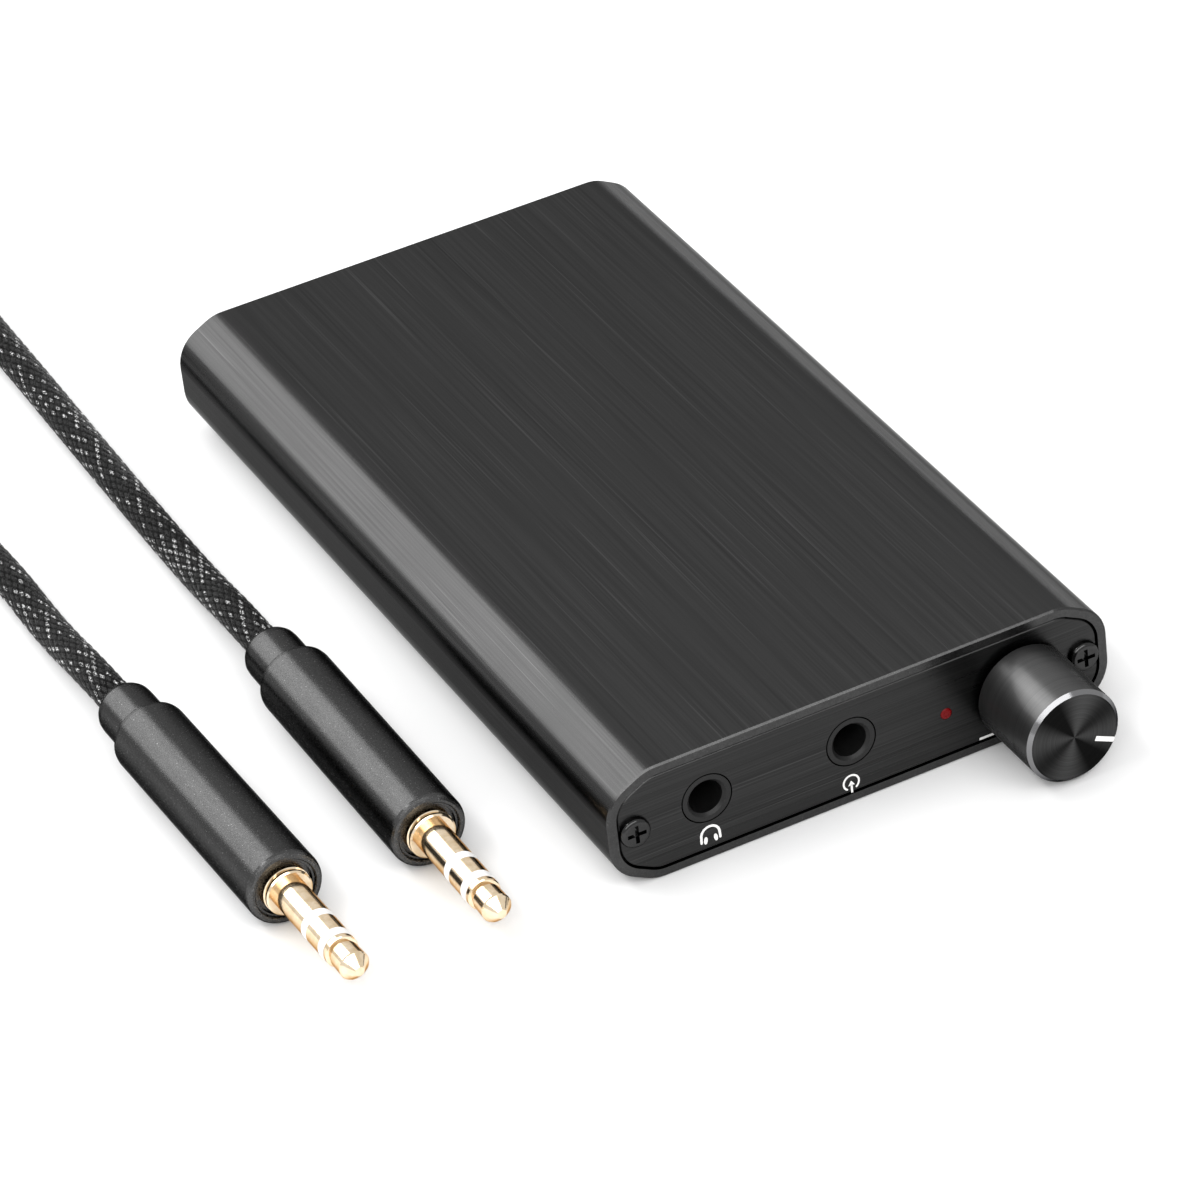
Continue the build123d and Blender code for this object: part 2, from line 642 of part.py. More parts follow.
def build_battery_cell():
    cell = block(
        -BATTERY_WIDTH / 2, BATTERY_WIDTH / 2,
        BATTERY_FRONT_Y, BATTERY_FRONT_Y + BATTERY_LENGTH,
        BATTERY_BOTTOM_Z + TOUCH_GAP, BATTERY_BOTTOM_Z + BATTERY_THICKNESS,
    )
    return fillet(cell.edges().filter_by(Axis.Y), 1.6)


def build_battery_tape():
    return block(
        -TAPE_HALF_WIDTH, TAPE_HALF_WIDTH, TAPE_FRONT_Y, TAPE_BACK_Y, BOARD_TOP_Z, BATTERY_BOTTOM_Z
    )


def build_protection_board():
    return block(
        -PROTECTION_HALF_WIDTH, PROTECTION_HALF_WIDTH,
        BATTERY_FRONT_Y - 1.6, BATTERY_FRONT_Y - 0.2,
        BATTERY_BOTTOM_Z + 0.8, BATTERY_BOTTOM_Z + 4.2,
    )


def wire(points, bend):
    """A round insulated wire along straight runs with arcs between them."""
    path = FilletPolyline(*points, radius=bend)
    section = Plane(origin=path @ 0, z_dir=path % 0) * Circle(WIRE_RADIUS)
    return sweep(section, path)


def build_battery_wire(start_x, run_y, end_x):
    return wire(
        [
            (start_x, BATTERY_FRONT_Y - 1.62, WIRE_Z), (start_x, run_y, WIRE_Z),
            (end_x, run_y, WIRE_Z), (end_x, SOCKET_BACK_Y + 1.02, WIRE_Z),
        ],
        WIRE_BEND,
    )


def build_battery_socket():
    half = SOCKET_HALF_WIDTH
    socket = block(
        SOCKET_X - half, SOCKET_X + half, SOCKET_FRONT_Y, SOCKET_BACK_Y, BOARD_TOP_Z, SOCKET_TOP_Z
    )
    half -= SOCKET_WALL
    return socket - block(
        SOCKET_X - half, SOCKET_X + half, SOCKET_FRONT_Y + 1, SOCKET_BACK_Y + 1,
        BOARD_TOP_Z + SOCKET_WALL, SOCKET_TOP_Z - SOCKET_WALL,
    )


def build_battery_plug():
    inset = SOCKET_WALL + BATTERY_PLUG_GAP
    half = SOCKET_HALF_WIDTH - inset
    return block(
        SOCKET_X - half, SOCKET_X + half, SOCKET_FRONT_Y + 1.1, SOCKET_BACK_Y + 1,
        BOARD_TOP_Z + inset, SOCKET_TOP_Z - inset,
    )


# Board parts

CHIP_PLACES = {
    "amplifier_chip": (-10.0, -21.0),
    "driver_chip": (0.5, -21.0),
    "charger_chip": (20.0, 44.0),
}
CHIP_LENGTH = 4.9
CHIP_WIDTH = 3.9
CHIP_HEIGHT = 1.5
LEAD_PITCH = 1.27
LEAD_THICKNESS = 0.2
INDUCTOR_PLACE = (20.0, 37.1)
INDUCTOR_WIDTH = 4.2
INDUCTOR_HEIGHT = 2.4
RESISTOR_SIZE = (1.6, 0.8, 0.45)
CERAMIC_SIZE = (2.0, 1.25, 0.9)
CAN_RADIUS = 2.5
CAN_HEIGHT = 5.0
CAN_PLACES = [
    (-19.8, -26.0), (-19.8, -19.5),
    (9.0, -22.5), (15.5, -22.5), (9.0, -15.5), (15.5, -15.5),
]


def build_chip(place):
    x, y = place
    body = block(
        x - CHIP_WIDTH / 2, x + CHIP_WIDTH / 2, y - CHIP_LENGTH / 2, y + CHIP_LENGTH / 2,
        BOARD_TOP_Z + 0.12, BOARD_TOP_Z + CHIP_HEIGHT,
    )
    body = chamfer(body.faces().sort_by(Axis.Z)[-1].edges(), 0.25)
    corner = (x - CHIP_WIDTH / 2 + 0.9, y - CHIP_LENGTH / 2 + 0.9)
    return body - rod_z(0.3, BOARD_TOP_Z + CHIP_HEIGHT - 0.1, BOARD_TOP_Z + 2, *corner)


def build_chip_leads():
    """The bent legs along both long sides of each chip."""
    leads = []
    for x, y in CHIP_PLACES.values():
        for row in range(4):
            lead_y = y + (row - 1.5) * LEAD_PITCH
            for way in (-1, 1):
                edge_x = x + way * (CHIP_WIDTH / 2 + TOUCH_GAP)
                line = Polyline(
                    (edge_x, BOARD_TOP_Z + 0.75), (edge_x + way * 0.4, BOARD_TOP_Z + 0.75),
                    (edge_x + way * 0.55, BOARD_TOP_Z + 0.12),
                    (edge_x + way * 1.05, BOARD_TOP_Z + 0.12),
                )
                leads.append(slab(trace(line, LEAD_THICKNESS), lead_y - 0.2, lead_y + 0.2))
    return joined(leads)


def build_capacitor_cans():
    cans = []
    for x, y in CAN_PLACES:
        can = rod_z(CAN_RADIUS, BOARD_TOP_Z + 0.5, BOARD_TOP_Z + 0.5 + CAN_HEIGHT, x, y)
        can = fillet(can.edges().filter_by(GeomType.CIRCLE).sort_by(Axis.Z)[-1], 0.4)
        cans.append(can)
    return joined(cans)


def build_capacitor_bases():
    bases = []
    for x, y in CAN_PLACES:
        base = block(x - 2.65, x + 2.65, y - 2.65, y + 2.65, BOARD_TOP_Z, BOARD_TOP_Z + 0.48)
        bases.append(chamfer(base.edges().filter_by(Axis.Z).sort_by(Axis.Y)[:2], 0.8))
    return joined(bases)


def build_chip_parts(places, size):
    """Small surface-mount blocks with softened edges, all alike."""
    length, width, height = size
    pieces = []
    for x, y in places:
        piece = Pos(x, y, BOARD_TOP_Z + height / 2) * Box(length, width, height)
        pieces.append(fillet(piece.edges().filter_by(Axis.X), 0.08))
    return joined(pieces)


def build_inductor():
    x, y = INDUCTOR_PLACE
    half = INDUCTOR_WIDTH / 2
    core = block(x - half, x + half, y - half, y + half, BOARD_TOP_Z, BOARD_TOP_Z + INDUCTOR_HEIGHT)
    return fillet(core.edges().filter_by(Axis.Z), 0.8)


RESISTOR_PLACES = [
    (-10.0 + 2.6 * column, -14.6 + 1.9 * row) for column in range(6) for row in range(2)
]
CERAMIC_PLACES = [(-5.0, -24.0 + 2.2 * row) for row in range(4)]
CERAMIC_PLACES += [(20.0, 26.0 + 3.0 * row) for row in range(3)]


# Patch lead


def turned_on_plug(name, profile):
    """Revolve (radius, distance in front of the collar's back) points about a plug's axis."""
    solid = turned([(radius, -distance) for radius, distance in profile])
    return Pos(*behind_plug(name, 0.0)) * Rot(0, 0, PLUG_TURNS[name]) * solid


BARREL_END = COLLAR_LENGTH + BARREL_LENGTH
FLANGE_END = BARREL_END + FLANGE_LENGTH
SLEEVE_LENGTH = 5.8
RING_LENGTH = 2.5
BAND_LENGTH = 1.1
SLEEVE_END = FLANGE_END + SLEEVE_LENGTH
RING_START = SLEEVE_END + BAND_LENGTH
RING_END = RING_START + RING_LENGTH
TIP_START = RING_END + BAND_LENGTH
TIP_END = FLANGE_END + CONTACT_LENGTH
CORE_RADIUS = 0.95
PIN_RADIUS = 0.5
RECESS_STEP_DEPTH = 0.3
RECESS_DEPTH = 0.7
NOSE_LENGTH = 3.0
CONTACT_BASE_LENGTH = 12.0


def build_plug_collar(name):
    """The moulded sleeve where the cord enters, which runs on inside the barrel."""
    return turned_on_plug(name, [
        (0, 0), (COLLAR_RADIUS - 0.55, 0), (COLLAR_RADIUS - 0.2, 0.2),
        (COLLAR_RADIUS - 0.05, 0.6), (COLLAR_RADIUS, 1.2),
        (COLLAR_RADIUS, COLLAR_LENGTH + 3), (0, COLLAR_LENGTH + 3),
    ])


def build_plug_barrel(name):
    """A rounded tube whose front is stepped inward twice around the contact's flange."""
    bore = COLLAR_RADIUS + TOUCH_GAP
    nose_bore = FLANGE_RADIUS + TOUCH_GAP
    return turned_on_plug(name, [
        (bore, COLLAR_LENGTH), (PLUG_RADIUS - 0.55, COLLAR_LENGTH),
        (PLUG_RADIUS - 0.22, COLLAR_LENGTH + 0.12), (PLUG_RADIUS - 0.05, COLLAR_LENGTH + 0.38),
        (PLUG_RADIUS, COLLAR_LENGTH + 0.75), (PLUG_RADIUS, BARREL_END - 0.6),
        (PLUG_RADIUS - 0.06, BARREL_END - 0.32), (PLUG_RADIUS - 0.22, BARREL_END - 0.1),
        (PLUG_RADIUS - 0.45, BARREL_END), (PLUG_RADIUS - 0.7, BARREL_END),
        (PLUG_RADIUS - 0.8, BARREL_END - 0.1), (PLUG_RADIUS - 0.8, BARREL_END - RECESS_STEP_DEPTH),
        (PLUG_RADIUS - 1.05, BARREL_END - RECESS_STEP_DEPTH),
        (PLUG_RADIUS - 1.05, BARREL_END - RECESS_DEPTH),
        (nose_bore, BARREL_END - RECESS_DEPTH), (nose_bore, BARREL_END - NOSE_LENGTH),
        (bore, BARREL_END - NOSE_LENGTH),
    ])


def build_sleeve_contact(name):
    """The contact nearest the barrel, with its grooved flange and its base inside."""
    inside = COLLAR_RADIUS - TOUCH_GAP
    base_start = BARREL_END - CONTACT_BASE_LENGTH
    base_end = BARREL_END - NOSE_LENGTH - TOUCH_GAP
    return turned_on_plug(name, [
        (CORE_RADIUS, base_start), (inside, base_start), (inside, base_end),
        (FLANGE_RADIUS, base_end), (FLANGE_RADIUS, FLANGE_END - 0.75),
        (FLANGE_RADIUS - 0.22, FLANGE_END - 0.65), (FLANGE_RADIUS - 0.22, FLANGE_END - 0.5),
        (FLANGE_RADIUS - 0.05, FLANGE_END - 0.4), (FLANGE_RADIUS - 0.05, FLANGE_END - 0.15),
        (FLANGE_RADIUS - 0.2, FLANGE_END), (CONTACT_RADIUS, FLANGE_END),
        (CONTACT_RADIUS, SLEEVE_END), (CORE_RADIUS, SLEEVE_END),
    ])


def build_ring_contact(name):
    return turned_on_plug(name, [
        (CORE_RADIUS, RING_START), (CONTACT_RADIUS, RING_START),
        (CONTACT_RADIUS, RING_END), (CORE_RADIUS, RING_END),
    ])


def build_insulator(name):
    """The moulded core that keeps the three contacts apart, seen as two white bands."""
    core = CORE_RADIUS - TOUCH_GAP
    bore = PIN_RADIUS + TOUCH_GAP
    gap = TOUCH_GAP
    start = BARREL_END - CONTACT_BASE_LENGTH + 1
    return turned_on_plug(name, [
        (bore, start), (core, start), (core, SLEEVE_END + gap),
        (CONTACT_RADIUS, SLEEVE_END + gap), (CONTACT_RADIUS, RING_START - gap),
        (core, RING_START - gap), (core, RING_END + gap), (CONTACT_RADIUS, RING_END + gap),
        (CONTACT_RADIUS, TIP_START - gap), (bore, TIP_START - gap),
    ])


def build_tip_contact(name):
    """A collar, a groove, and a cylinder that ends in a blunt cone, on its inner pin."""
    start = BARREL_END - CONTACT_BASE_LENGTH + 1
    return turned_on_plug(name, [
        (0, start), (PIN_RADIUS, start), (PIN_RADIUS, TIP_START),
        (1.68, TIP_START), (1.72, TIP_START + 0.1), (1.72, TIP_START + 0.5),
        (1.62, TIP_START + 0.6), (1.36, TIP_START + 0.68), (1.36, TIP_START + 0.95),
        (1.5, TIP_START + 1.15), (1.56, TIP_END - 1.2), (1.48, TIP_END - 1.05),
        (0.62, TIP_END - 0.12), (0.5, TIP_END), (0, TIP_END),
    ])


def corner_radii(route):
    """At each corner, 0.45 of the shorter run over the tangent of half the turn."""
    points = [Vector(*point) for point in route]
    radii = []
    for before, corner, after in zip(points, points[1:], points[2:]):
        incoming, outgoing = corner - before, after - corner
        half_turn = radians(incoming.get_angle(outgoing)) / 2
        radii.append(0.45 * min(incoming.length, outgoing.length) / tan(half_turn))
    return radii


def build_cord(name, route):
    radii = corner_radii(route)
    path = FilletPolyline(*route, radius=radii)
    section = Plane(origin=path @ 0, z_dir=path % 0) * Circle(CORD_RADIUS)
    tube = sweep(section, path)
    expected = pi * CORD_RADIUS**2 * path.length
    print(name, "length", round(path.length, 1), "volume ratio", round(tube.volume / expected, 4))
    print(name, "radii", [round(radius) for radius in radii])
    return tube


COIL_INNER_RADIUS = COIL_INNER_TURN_RADIUS - CORD_RADIUS
COIL_OUTER_RADIUS = COIL_OUTER_TURN_RADIUS + CORD_RADIUS


def build_lead_coil():
    """The outer shape of the wound spare length."""
    middle_radius = (COIL_INNER_RADIUS + COIL_OUTER_RADIUS) / 2
    band = COIL_OUTER_RADIUS - COIL_INNER_RADIUS
    section = Pos(middle_radius, COIL_HEIGHT / 2) * RectangleRounded(
        band, COIL_HEIGHT, COIL_EDGE_RADIUS
    )
    ring = revolve(Plane.XZ * section, Axis.Z, 360)
    return Pos(*COIL_CENTRE, 0) * ring


def build_lead_tie():
    """The strap that holds the coil's turns together at the far side."""
    middle_radius = (COIL_INNER_RADIUS + COIL_OUTER_RADIUS) / 2
    band = COIL_OUTER_RADIUS - COIL_INNER_RADIUS
    outer = RectangleRounded(
        band + 2 * TIE_THICKNESS, COIL_HEIGHT + TIE_THICKNESS, COIL_EDGE_RADIUS + TIE_THICKNESS
    )
    inner = RectangleRounded(band, COIL_HEIGHT - TIE_THICKNESS, COIL_EDGE_RADIUS)
    middle_z = (COIL_HEIGHT + TIE_THICKNESS) / 2
    section = Pos(middle_radius, middle_z) * (outer - inner)
    strap = extrude(Plane.XZ * section, TIE_WIDTH / 2, both=True)
    return Pos(*COIL_CENTRE, 0) * Rot(0, 0, 90) * strap


def build_parts():
    parts["case_shell"] = build_case_shell()
    parts["front_panel"] = build_front_panel()
    parts["rear_panel"] = build_rear_panel()
    parts["front_screws"] = build_screws(PANEL_FACE_Y, -1)
    parts["rear_screws"] = build_screws(REAR_PANEL_FACE_Y, 1)
    parts["circuit_board"] = build_circuit_board()
    for use, x in JACK_XS.items():
        legs = jack_leg_places(x)
        parts[f"{use}_jack"] = build_jack_housing(x)
        parts[f"{use}_tip_spring"] = build_side_spring(x, -1, TIP_WINDOW, legs["tip"])
        parts[f"{use}_ring_spring"] = build_side_spring(x, 1, RING_WINDOW, legs["ring"])
        parts[f"{use}_sleeve_spring"] = build_sleeve_spring(x, legs["sleeve"])
    parts["pot_housing"] = build_pot_housing()
    parts["pot_bushing"] = build_pot_bushing()
    parts["pot_element"] = build_pot_element()
    parts["pot_wiper"] = build_pot_wiper()
    parts["pot_terminals"] = build_pot_terminals()
    parts["power_switch"] = build_power_switch()
    parts["volume_shaft"] = build_volume_shaft()
    parts["volume_knob"] = build_volume_knob()
    parts["knob_insert"] = build_knob_insert()
    parts["led_light_pipe"] = build_light_pipe()
    parts["power_led"] = build_power_led()
    parts["usb_shell"] = build_usb_shell()
    parts["usb_tongue"] = build_usb_tongue()
    parts["battery_cell"] = build_battery_cell()
    parts["battery_tape"] = build_battery_tape()
    parts["battery_protection_board"] = build_protection_board()
    parts["battery_wire_red"] = build_battery_wire(4.0, -4.0, SOCKET_X - 1.0)
    parts["battery_wire_black"] = build_battery_wire(8.0, -5.6, SOCKET_X + 1.0)
    parts["battery_socket"] = build_battery_socket()
    parts["battery_plug"] = build_battery_plug()
    for name, place in CHIP_PLACES.items():
        parts[name] = build_chip(place)
    parts["chip_leads"] = build_chip_leads()
    parts["capacitor_cans"] = build_capacitor_cans()
    parts["capacitor_bases"] = build_capacitor_bases()
    parts["chip_resistors"] = build_chip_parts(RESISTOR_PLACES, RESISTOR_SIZE)
    parts["ceramic_capacitors"] = build_chip_parts(CERAMIC_PLACES, CERAMIC_SIZE)
    parts["power_inductor"] = build_inductor()
    for name in PLUG_TURNS:
        parts[f"plug_{name}_collar"] = build_plug_collar(name)
        parts[f"plug_{name}_barrel"] = build_plug_barrel(name)
        parts[f"plug_{name}_sleeve_contact"] = build_sleeve_contact(name)
        parts[f"plug_{name}_ring_contact"] = build_ring_contact(name)
        parts[f"plug_{name}_tip_contact"] = build_tip_contact(name)
        parts[f"plug_{name}_insulator"] = build_insulator(name)
    parts["lead_cord_a"] = build_cord("lead_cord_a", ROUTE_A)
    parts["lead_cord_b"] = build_cord("lead_cord_b", ROUTE_B)
    parts["lead_coil"] = build_lead_coil()
    parts["lead_tie"] = build_lead_tie()


build_parts()
for node_name, solid in parts.items():
    export_step(solid, f"parts/{node_name}.step")
print(len(parts), "nodes")
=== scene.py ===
import json
import math
import bpy
import numpy as np
from mathutils import Matrix, Vector


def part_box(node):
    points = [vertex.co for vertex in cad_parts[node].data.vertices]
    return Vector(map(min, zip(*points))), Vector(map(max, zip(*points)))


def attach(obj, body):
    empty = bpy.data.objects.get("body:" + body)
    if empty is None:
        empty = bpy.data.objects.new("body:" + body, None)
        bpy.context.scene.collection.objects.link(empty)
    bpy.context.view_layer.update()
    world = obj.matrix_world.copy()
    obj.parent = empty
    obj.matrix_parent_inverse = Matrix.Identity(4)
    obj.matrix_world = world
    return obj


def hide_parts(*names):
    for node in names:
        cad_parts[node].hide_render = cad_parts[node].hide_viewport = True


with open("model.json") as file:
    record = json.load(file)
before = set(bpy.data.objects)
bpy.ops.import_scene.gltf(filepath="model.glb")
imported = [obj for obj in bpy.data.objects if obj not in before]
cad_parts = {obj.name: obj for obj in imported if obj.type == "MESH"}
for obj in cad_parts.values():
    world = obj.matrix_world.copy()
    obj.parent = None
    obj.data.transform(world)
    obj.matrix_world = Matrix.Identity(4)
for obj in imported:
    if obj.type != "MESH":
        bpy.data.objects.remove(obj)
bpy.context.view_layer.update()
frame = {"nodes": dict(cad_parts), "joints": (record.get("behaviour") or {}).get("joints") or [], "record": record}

NODES = frame["nodes"]
MOUNTS = {mount["name"]: Vector(mount["pos_m"]) for mount in frame["record"]["mounts"]}
KNOB_AXIS = Vector(frame["joints"][0]["pos_m"])
SCENE = bpy.context.scene
MM = 0.001

# Lengths and places are in metres, in the part's own frame
PANEL_FACE_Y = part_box("front_panel")[0].y
KNOB_LOW, KNOB_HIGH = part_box("volume_knob")
KNOB_FRONT_Y = KNOB_LOW.y
KNOB_RADIUS = (KNOB_HIGH.x - KNOB_LOW.x) / 2
KNOB_BEVEL = 0.42 * MM
CORD_RADIUS = 1.85 * MM


# Camera, light and floor

CAMERA_LENS = 188.8
WORLD_STRENGTH = 0.85
FLOOR_REACH = 6.0


def make_camera():
    """The viewpoint: left of the front, looking down, with the camera rolled a little."""
    azimuth, elevation, roll = math.radians(-23.14), math.radians(34.29), math.radians(7.2)
    target = Vector((-0.0097, -0.0088, 0.0065))
    distance = 0.6294
    back = Vector((
        math.sin(azimuth) * math.cos(elevation),
        -math.cos(azimuth) * math.cos(elevation),
        math.sin(elevation),
    ))
    data = bpy.data.cameras.new("camera")
    data.sensor_width = 36.0
    data.lens = CAMERA_LENS
    data.clip_start, data.clip_end = 0.05, 20.0
    camera = bpy.data.objects.new("camera", data)
    SCENE.collection.objects.link(camera)
    camera.rotation_mode = "QUATERNION"
    camera.location = target + back * distance
    turn = (-back).to_track_quat("-Z", "Y")
    camera.rotation_quaternion = turn @ Matrix.Rotation(-roll, 3, "Z").to_quaternion()
    SCENE.camera = camera


def make_light(name, toward, distance, width, height, radiance, tilt=0.0):
    """A soft rectangular light in the direction toward, aimed at the object, tilted in degrees."""
    data = bpy.data.lights.new(name, "AREA")
    data.shape = "RECTANGLE"
    data.size = width
    data.size_y = height
    data.energy = radiance * math.pi * width * height
    light = bpy.data.objects.new(name, data)
    SCENE.collection.objects.link(light)
    direction = Vector(toward).normalized()
    light.location = direction * distance
    light.rotation_mode = "QUATERNION"
    turn = (-direction).to_track_quat("-Z", "Y")
    light.rotation_quaternion = turn @ Matrix.Rotation(math.radians(tilt), 3, "Z").to_quaternion()


def make_studio():
    world = bpy.data.worlds.new("studio")
    world.use_nodes = True
    background = world.node_tree.nodes["Background"]
    background.inputs["Color"].default_value = (1.0, 1.0, 1.0, 1.0)
    background.inputs["Strength"].default_value = WORLD_STRENGTH
    SCENE.world = world
    make_light(  # mirrored by the left chamfer and the plug barrels
        "left_back_softbox", (-0.319, 0.809, 0.498), distance=1.2,
        width=0.96, height=0.6, radiance=3.7, tilt=-38.0,
    )
    make_light(  # mirrored by the right chamfer
        "right_back_strip", (0.648, 0.76, 0.06), distance=1.5,
        width=0.6, height=0.17, radiance=6.0,
    )
    make_light(  # mirrored by the upper part of the knob's bevel
        "front_softbox", (-0.194, -0.698, 0.69), distance=1.1,
        width=1.5, height=0.36, radiance=4.0, tilt=21.0,
    )
    make_light(  # a line of light along the knob's side and the plug barrels
        "top_left_strip", (-0.485, 0.15, 0.86), distance=1.2,
        width=0.7, height=0.2, radiance=8.0,
    )
    make_floor()
    SCENE.view_settings.view_transform = "Standard"


def make_floor():
    """White matt paper under the object."""
    mesh = bpy.data.meshes.new("floor")
    signs = [(-1, -1), (1, -1), (1, 1), (-1, 1)]
    corners = [(x * FLOOR_REACH, y * FLOOR_REACH, 0) for x, y in signs]
    mesh.from_pydata(corners, [], [(0, 1, 2, 3)])
    floor = bpy.data.objects.new("floor", mesh)
    SCENE.collection.objects.link(floor)
    paper = new_material(
        "floor_paper", Base_Color=grey(0.93), Roughness=0.9, Specular_IOR_Level=0.1,
    )[0]
    mesh.materials.append(paper)


# Materials

def grey(value):
    return (value, value, value, 1.0)


def set_or_link(tree, socket, value):
    """Link the socket to another one, or give it a value."""
    if isinstance(value, bpy.types.NodeSocket):
        tree.links.new(value, socket)
    else:
        socket.default_value = value


def add(tree, kind, settings=None, inputs=None):
    """A node of that kind, with its settings, and its inputs linked or set."""
    node = tree.nodes.new("ShaderNode" + kind)
    for key, value in (settings or {}).items():
        setattr(node, key, value)
    for key, value in (inputs or {}).items():
        set_or_link(tree, node.inputs[key], value)
    return node


def new_material(name, **constants):
    """A material with a Principled shader, whose constant sockets are set by name."""
    material = bpy.data.materials.new(name)
    material.use_nodes = True
    tree = material.node_tree
    shader = tree.nodes["Principled BSDF"]
    for key, value in constants.items():
        shader.inputs[key.replace("_", " ")].default_value = value
    return material, tree, shader


def place_of(tree):
    """The point's place in the part's own frame, in metres."""
    return add(tree, "TexCoord").outputs["Object"]


def noise(tree, size, detail=2.0, vector=None):
    """Noise 0 to 1 whose grains have that size along X, Y and Z, in metres."""
    scale = tuple(1 / length for length in size)
    mapping = add(tree, "Mapping", inputs={
        "Vector": vector or place_of(tree), "Scale": scale,
    })
    node = add(tree, "TexNoise", inputs={
        "Vector": mapping.outputs[0], "Scale": 1.0, "Detail": detail, "Roughness": 0.6,
    })
    return node.outputs[0]


def spread(tree, value, low, high, source=(0.3, 0.7)):
    """The value's range of source, moved to low and high."""
    node = add(tree, "MapRange", inputs={
        "Value": value, "From Min": source[0], "From Max": source[1],
        "To Min": low, "To Max": high,
    })
    return node.outputs[0]


def calc(tree, operation, first, second=0.0, third=0.0):
    node = add(tree, "Math", {"operation": operation})
    for socket, value in zip(node.inputs, (first, second, third)):
        set_or_link(tree, socket, value)
    return node.outputs[0]


def ramp(tree, value, *stops):
    """A colour for a value, from (place, colour) stops."""
    node = add(tree, "ValToRGB", inputs={"Fac": value})
    elements = node.color_ramp.elements
    while len(elements) < len(stops):
        elements.new(0.5)
    for element, (place, colour) in zip(elements, stops):
        element.position = place
        element.color = colour
    return node.outputs["Color"]


def mixed(tree, factor, first, second):
    """The first colour where the factor is 0, the second where it is 1."""
    node = add(tree, "Mix", {"data_type": "RGBA"})
    factor_socket, first_socket, second_socket = (node.inputs[index] for index in (0, 6, 7))
    set_or_link(tree, factor_socket, factor)
    set_or_link(tree, first_socket, first)
    set_or_link(tree, second_socket, second)
    return node.outputs[2]


def bump(tree, shader, height, depth, strength=1.0):
    """Raise the surface by depth metres where height is 1."""
    node = add(tree, "Bump", inputs={"Height": height, "Distance": depth, "Strength": strength})
    tree.links.new(node.outputs[0], shader.inputs["Normal"])


def feed(tree, shader, **sockets):
    for key, value in sockets.items():
        tree.links.new(value, shader.inputs[key.replace("_", " ")])


def brushed_metal(name, along, dark, light, roughness, edge_tint, depth):
    """Anodised metal with brush lines along X or Y: fine lines, broad bands and faint stains."""
    def lines(width, length):
        return tuple(length if axis == along else width for axis in "XYZ")

    material, tree, shader = new_material(name, Metallic=1.0, Specular_Tint=grey(edge_tint))
    fine = noise(tree, lines(0.13 * MM, 30 * MM), 3.0)
    middle = noise(tree, lines(0.45 * MM, 150 * MM), 2.0)
    broad = noise(tree, lines(3.5 * MM, 400 * MM), 1.0)
    scratches = spread(tree, noise(tree, lines(0.16 * MM, 35 * MM), 1.0), 0.0, 1.0, (0.66, 0.74))
    stain = noise(tree, (9 * MM, 9 * MM, 9 * MM), 3.0)
    shade = calc(tree, "MULTIPLY_ADD", fine, 0.55, calc(tree, "MULTIPLY", middle, 0.3))
    shade = calc(tree, "MULTIPLY_ADD", broad, 0.15, shade)
    colour = ramp(tree, shade, (0.36, grey(dark)), (0.64, grey(light)))
    colour = mixed(tree, calc(tree, "MULTIPLY", scratches, 0.5), colour, grey(light * 1.7))
    polish = calc(tree, "ADD", spread(tree, middle, -0.03, 0.03), spread(tree, stain, -0.02, 0.02))
    feed(tree, shader, Base_Color=colour, Roughness=calc(tree, "ADD", polish, roughness))
    bump(tree, shader, calc(tree, "MULTIPLY_ADD", scratches, 0.6, fine), depth)
    return material


# Painted reflection on the knob's spun face: light and dark wedges in its colour stand in for the streaks that its
# spinning marks reflect; two opposite light wedges are lighter than the others
PAINTED_REFLECTION_WEDGES = 4.0
PAINTED_REFLECTION_TURN = math.radians(-60)
PAINTED_REFLECTION_IMBALANCE = 0.45

# Depths behind the knob's front, and the radius outside which the bevel lies
FACE_DEPTH = 0.03 * MM
BEVEL_DEPTH = KNOB_BEVEL - 0.02 * MM
BEVEL_INNER_RADIUS = KNOB_RADIUS - 1.1 * KNOB_BEVEL


def tangent_around_y(tree):
    """The direction around the piece's own Y axis, which the turning marks follow."""
    return add(tree, "Tangent", {"direction_type": "RADIAL", "axis": "Y"}).outputs[0]


